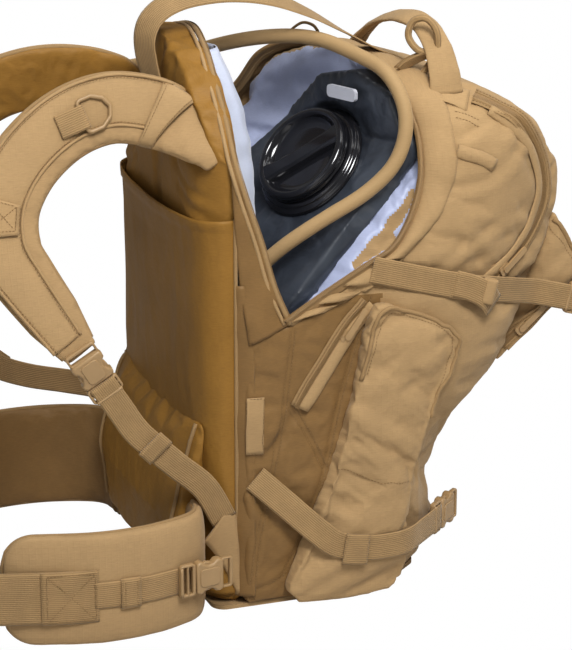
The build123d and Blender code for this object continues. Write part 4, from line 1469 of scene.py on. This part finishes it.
def plate(name, outlines, thick, material, base, out, across, face, bevel=1.0, rise=0.0):
    """Rounded plate with holes from outlines in mm (along out, across), standing on a buckle's frame."""
    line = bpy.data.curves.new(name + "_line", "CURVE")
    line.dimensions = "2D"
    line.fill_mode = "BOTH"
    line.extrude = max(0.0001, thick / 2000 - bevel / 1000)
    line.bevel_depth = bevel / 1000
    line.bevel_resolution = 2
    line.offset = -bevel / 1000
    for points in outlines:
        spline = line.splines.new("POLY")
        spline.points.add(len(points) - 1)
        spline.use_cyclic_u = True
        for spot, (x, y) in zip(spline.points, points):
            spot.co = (x / 1000, y / 1000, 0, 1)
    holder = bpy.data.objects.new(name + "_line", line)
    bpy.context.scene.collection.objects.link(holder)
    bpy.context.view_layer.update()
    mesh = bpy.data.meshes.new_from_object(holder.evaluated_get(bpy.context.evaluated_depsgraph_get()))
    bpy.data.objects.remove(holder)
    flat = np.array([v.co for v in mesh.vertices])
    spots = (base + face * rise / 1000 + flat[:, :1] * out + flat[:, 1:2] * across + flat[:, 2:3] * face)
    return add_mesh(name, spots, [tuple(p.vertices) for p in mesh.polygons], material)


def rounded(x0, x1, y0, y1, radius, steps=5):
    """A rounded rectangle's outline."""
    points = []
    for cx, cy, start in ((x1 - radius, y1 - radius, 0), (x0 + radius, y1 - radius, 90),
                          (x0 + radius, y0 + radius, 180), (x1 - radius, y0 + radius, 270)):
        for k in range(steps + 1):
            angle = math.radians(start + 90 * k / steps)
            points.append((cx + radius * math.cos(angle), cy + radius * math.sin(angle)))
    return points


def socket_outline(wide=16):
    """The waisted outline of a buckle's socket, in mm behind its mouth."""
    half = [(0, wide - 2.5), (-2, wide - 0.6), (-6, wide), (-8.5, wide - 2.8), (-13, wide - 4.4),
            (-18, wide - 3.2), (-20.5, wide - 0.4), (-24, wide), (-27, wide - 1.2), (-28, wide - 3)]
    return half + [(x, -y) for x, y in reversed(half)]


def join(name, pieces):
    """Joins meshes into the first one."""
    with bpy.context.temp_override(active_object=pieces[0], selected_editable_objects=pieces):
        bpy.ops.object.join()
    pieces[0].name = name
    return pieces[0]


def side_release_socket(name, mouth, out, face, body, nodes=(), wide=16):
    """The socket of a side-release buckle with its raised crest and its webbing loop."""
    base, out, face, across = mouth_frame(mouth, out, face)
    shell = plate(name + "_shell", [socket_outline(wide)], 10.4, buckle_plastic, base, out, across, face, 2.2)
    crest = plate(name + "_crest", [rounded(-24, -3, -wide * 0.55, wide * 0.55, 4)], 2.0, buckle_plastic, base,
                  out, across, face, 0.8, 5.2)
    loop = plate(name + "_loop", [rounded(-39, -26, -wide * 0.94, wide * 0.94, 3),
                                  rounded(-35.4, -29, -wide * 0.80, wide * 0.80, 1)],
                 5.0, buckle_plastic, base, out, across, face, 1.4, 0.6)
    return placed(join(name, [shell, crest, loop]), body, nodes)


def side_release_plug(name, mouth, out, face, body, nodes=(), wide=16):
    """The plug of a side-release buckle with its ladder bars and its prongs."""
    base, out, face, across = mouth_frame(mouth, out, face)
    bars = plate(name + "_bars", [rounded(0.6, 17, -wide, wide, 3.5),
                                  rounded(4.0, 7.6, -wide * 0.83, wide * 0.83, 0.8),
                                  rounded(10.0, 14.4, -wide * 0.83, wide * 0.83, 0.8)],
                 5.6, buckle_plastic, base, out, across, face, 1.3, 1.4)
    prongs = []
    for flip in (1, -1):
        scale = wide / 16
        outline = [(2, 6.5), (2, 11.2), (-6, 11.6), (-10, 14.6), (-15, 14.0), (-19, 10.6), (-18.4, 8.6),
                   (-12, 8.2), (-6, 7)]
        prongs.append(plate(f"{name}_prong_{'a' if flip > 0 else 'b'}",
                            [[(x, y * flip * scale) for x, y in outline][::flip]], 4.4, buckle_plastic, base,
                            out, across, face, 1.0))
    tongue = plate(name + "_tongue", [rounded(-15, 2, -2, 2, 1.5)], 4.0, buckle_plastic, base, out, across,
                   face, 1)
    rib = tube(name + "_rib", np.linspace(base + out * 0.0158 - across * wide * 0.00085 + face * 0.0046,
                                          base + out * 0.0158 + across * wide * 0.00085 + face * 0.0046, 8),
               0.0016, buckle_plastic, 10)
    return placed(join(name, [bars, *prongs, tongue, rib]), body, nodes)


def buckles():
    """Side-release buckles of the shoulder, compression, stabiliser and waist straps."""
    for side, sign in SIDES:
        upper = ((110 * sign, 265.47, 259.99), (0, -0.966, 0.259), (sign, 0, 0))
        lower = ((115.7 * sign, 114.7, 56), (0.667 * sign, -0.745, 0), (0.745 * sign, 0.667, 0))
        trio = (("shoulder", strap_mouths[side]), ("upper", upper), ("lower", lower))
        for kind, (mouth, out, face) in trio:
            nodes = ["buckle_sockets"] if (kind, side) == ("shoulder", "left") else []
            side_release_socket(f"{kind}_socket_{side}", mouth, out, face, "pack", nodes)
            side_release_plug(f"{kind}_plug_{side}_moulded", mouth, out, face, f"{kind}_plug_{side}",
                              [f"{kind}_plug_{side}"])
        stabiliser = ((182.5 * sign, -158, 54), (0.185 * sign, -0.983, 0), (0.983 * sign, 0.185, 0))
        side_release_socket(f"stabiliser_socket_{side}_moulded", *stabiliser, f"wing_{side}",
                            [f"stabiliser_socket_{side}"])
        side_release_plug(f"stabiliser_plug_{side}_moulded", *stabiliser, f"stabiliser_plug_{side}",
                          [f"stabiliser_plug_{side}"])
    side_release_plug("loose_plug_moulded", (-169 + 4.6, -117, 127), (0, 0.29, 0.957), (-1, 0, 0), "pack",
                      ["loose_plug"])


buckles()


def straps():
    """Compression straps, lower shoulder webbing, loose strap and handles."""
    for side, sign in SIDES:
        upper = [(155.0, 26, 324.2), (158.5, 70, 312.4), (158, 118, 299.5), (144, 152, 290.4),
                 (128, 186, 281.3), (116.5, 210, 274.9), (114.6, 228, 270.0), (114.6, 262.6, 260.8)]
        upper = [(x * sign, y, z) for x, y, z in upper]
        band = webbing(f"upper_strap_{side}", upper, (0, 0.259, 0.966), web_cloth)
        placed(band, "pack", ["upper_straps"] if sign > 0 else [])
        tail = [(159.5 * sign, 108, 304), (161.5 * sign, 124, 299), (161 * sign, 140, 290),
                (154 * sign, 151, 277)]
        placed(webbing(f"upper_strap_tail_{side}", tail, (0, 0.259, 0.966), web_cloth), "pack")
        roll = [(158.5 * sign, 136, 295), (163 * sign, 140, 294), (163.5 * sign, 147, 292),
                (158 * sign, 149, 291.4), (153.5 * sign, 145, 292.6), (155 * sign, 138, 294.4),
                (161 * sign, 138.5, 294.4)]
        keeper = webbing(f"upper_keeper_{side}", roll, (0, 0.259, 0.966), plain_cloth, 24, 1.6, 1.5)
        placed(keeper, "pack")
        lower = [(151.5, -88, 132), (160, -63, 108), (170.8, -34, 80), (174.5, -14, 64), (175.5, 14, 57),
                 (174.5, 44, 56), (167, 64, 56), (150, 83.3, 56), (121.1, 115.5, 56)]
        lower = [(x * sign, y, z) for x, y, z in lower]
        ways = [(0, 0.69, 0.72), (0, 0.66, 0.75), (0, 0.5, 0.86), (0, 0.2, 0.98), (0, 0, 1), (0, 0, 1),
                (0, 0, 1), (0, 0, 1), (0, 0, 1)]
        band = webbing(f"lower_strap_{side}", lower, ways, web_cloth)
        placed(band, "pack", ["lower_straps"] if sign > 0 else [])
        keeper = [(177.4 * sign, -8, 60), (178.6 * sign, 4, 58), (178.4 * sign, 16, 56.6)]
        placed(webbing(f"lower_keeper_{side}", keeper, (0, 0.1, 1), web_cloth, 31, 2.4, 3), "pack")

        mouth, out, face, across = mouth_frame(*strap_mouths[side])
        runs = {"left": [(1, 0), (30, 0.6), (62, 1), (90, 7), (118, 14), (154, 23), (196, 21)],
                "right": [(1, 0), (30, 0), (62, 2), (84, 16), (106, 42), (128, 77), (149, 108), (172, 124),
                          (196, 130)]}
        rise = [4.6, 4.8, 5.2, 5.4, 5.6, 5.0, 3.6, 2.5, 2.5]
        web = [mouth + out * a / 1000 + across * c / 1000 * (1 if across[1] > 0 else -1) + face * rise[k] / 1000
               for k, (a, c) in enumerate(runs[side])]
        band = webbing(f"adjuster_web_{side}_cloth", np.array(web) * 1000, across, web_cloth)
        placed(band, "pack", [f"adjuster_web_{side}"])
        cuff = np.array(web)[2:4] + face * 0.0022
        cuff = np.linspace(cuff[0] * 0.4 + cuff[1] * 0.6, cuff[1] * 1.15 - cuff[0] * 0.15, 4)
        keeper = webbing(f"adjuster_keeper_{side}", cuff * 1000, across, web_cloth, 29, 3.0, 3)
        placed(keeper, "pack")
        left_edge = curve([(143.6 * sign, -136, 72), (143.4 * sign, -118, 46), (142.4 * sign, -103, 14)], 3)
        right_edge = curve([(144.6 * sign, -116, 98), (144.0 * sign, -104, 92), (143.0 * sign, -99, 18)], 3)
        edges = [spread(edge, min(len(left_edge), len(right_edge))) for edge in (left_edge, right_edge)]
        tab = ribbon_between(f"anchor_tab_{side}", edges[0], edges[1], plain_cloth, crown=1.4, columns=9,
                             thick=2.6, crown_way=(sign, 0, 0))
        placed(tab, "pack", ["anchor_tabs"] if sign > 0 else [])

    loose = [(-152, -74, 268), (-160, -82, 244), (-166, -92, 212), (-166.5, -104, 174), (-164.6, -113, 142),
             (-164.4, -120, 122)]
    placed(webbing("loose_web", loose, (0, 0.957, -0.29), web_cloth), "pack", ["loose_strap"])
    carry = [(28, -126, 452), (26, -139, 478), (23, -148, 508), (22, -149, 532), (20, -138, 550),
             (18, -112, 562), (18, -70, 566), (20, -30, 560), (22, 10, 544), (24, 46, 524), (25, 76, 507),
             (25, 96, 499), (25, 112, 490)]
    ways = [(1, 0.2, 0), (0.9, 0.4, -0.1), (0.8, 0.55, -0.15), (0.75, 0.45, -0.4), (0.75, 0.2, -0.6),
            (0.75, 0, -0.62), (0.78, 0, -0.6), (0.84, 0, -0.5), (0.9, 0, -0.36), (0.96, 0, -0.2), (1, 0, 0),
            (1, 0, 0), (1, 0, 0)]
    placed(webbing("carry_handle_web", carry, ways, web_cloth), "pack", ["carry_handle"])

    haul = [(-84, 492), (-66, 508), (-40, 524), (-12, 533), (18, 536), (44, 530), (63, 514), (74, 494),
            (80, 472)]
    spots = [(24 + 0.98 * u, 106 + 0.19 * u, z) for u, z in haul]
    path = curve(spots, 3)
    half = np.interp(np.linspace(0, 1, len(path)), [0, 0.2, 0.75, 1], [15, 12, 13, 18]) / 1000
    lean = unit(np.array([0.19, -0.98, -0.30]))
    grip, _, _, out = pad_along("haul_handle_cloth", path, spread(lean, len(path)), half,
                                      np.full(len(path), 0.0030), pack_cloth, 2.4, 24)
    rumple(grip, 20, 0.8, seed=41)
    placed(grip, "pack", ["haul_handle"])
    fold_line = path + out * 0.0032
    stitch("pack", fold_line[4:-2], out[4:-2])
    knot = [(84, 112, 508), (80, 100, 512), (72, 94, 524), (74, 98, 538), (82, 108, 541), (87, 116, 530),
            (86, 118, 514), (82, 116, 502), (80, 108, 492), (84, 102, 484), (90, 100, 476)]
    placed(tube("pull_loop", curve(knot, 2), 0.0034, web_cloth, 10), "pack")
    for shift in (0, 5.5):
        tail = [(70 + shift, 84, 492), (72 + shift, 92, 499), (76 + shift, 104, 505), (82 + shift, 112, 508)]
        placed(webbing(f"pull_tab_{'a' if shift else 'b'}", tail, (0.3, -0.8, 0.5), web_cloth, 11, 2.2, 3),
               "pack")
    corner, _, _ = tape_on("haul_patch", [(99, 104, 477), (103, 122, 471), (108, 141, 465)], bag_surface, 26,
                           1.4, pack_cloth, lift=0.5)
    placed(corner, "pack")
    for dy in (0, 9):
        stitch_on("pack", [(97, 105 + dy, 477), (106, 109 + dy, 469), (114, 114 + dy, 461)], tree_of(corner),
                  0.6)
    tip = [(-20, 4, 512), (-14, 10, 522), (-8, 18, 528), (-2, 26, 526), (2, 30, 520)]
    placed(webbing("mouth_pull", tip, (0.9, -0.3, 0.2), web_cloth, 13, 2.4, 2), "pack")


straps()

# ---------------------------------------------------------------- hardware kept from the CAD
for cad_node, material in {
        "base_panel": plain_cloth, "frame_sheet": sheet_plastic, "frame_stays": stay_metal,
        "exit_port": black_gloss, "hanger_clip": clip_plastic, "bite_valve": valve_rubber,
        "valve_lever": lever_black, "d_ring_left": buckle_plastic, "d_ring_right": buckle_plastic,
        "main_slider": buckle_plastic, "pocket_slider": buckle_plastic, "side_slider": buckle_plastic,
        "waist_socket": buckle_plastic, "waist_plug": buckle_plastic}.items():
    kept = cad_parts[cad_node]
    for place in kept.material_slots:
        place.material = material


# ---------------------------------------------------------------- end of the script
finish_stitches()
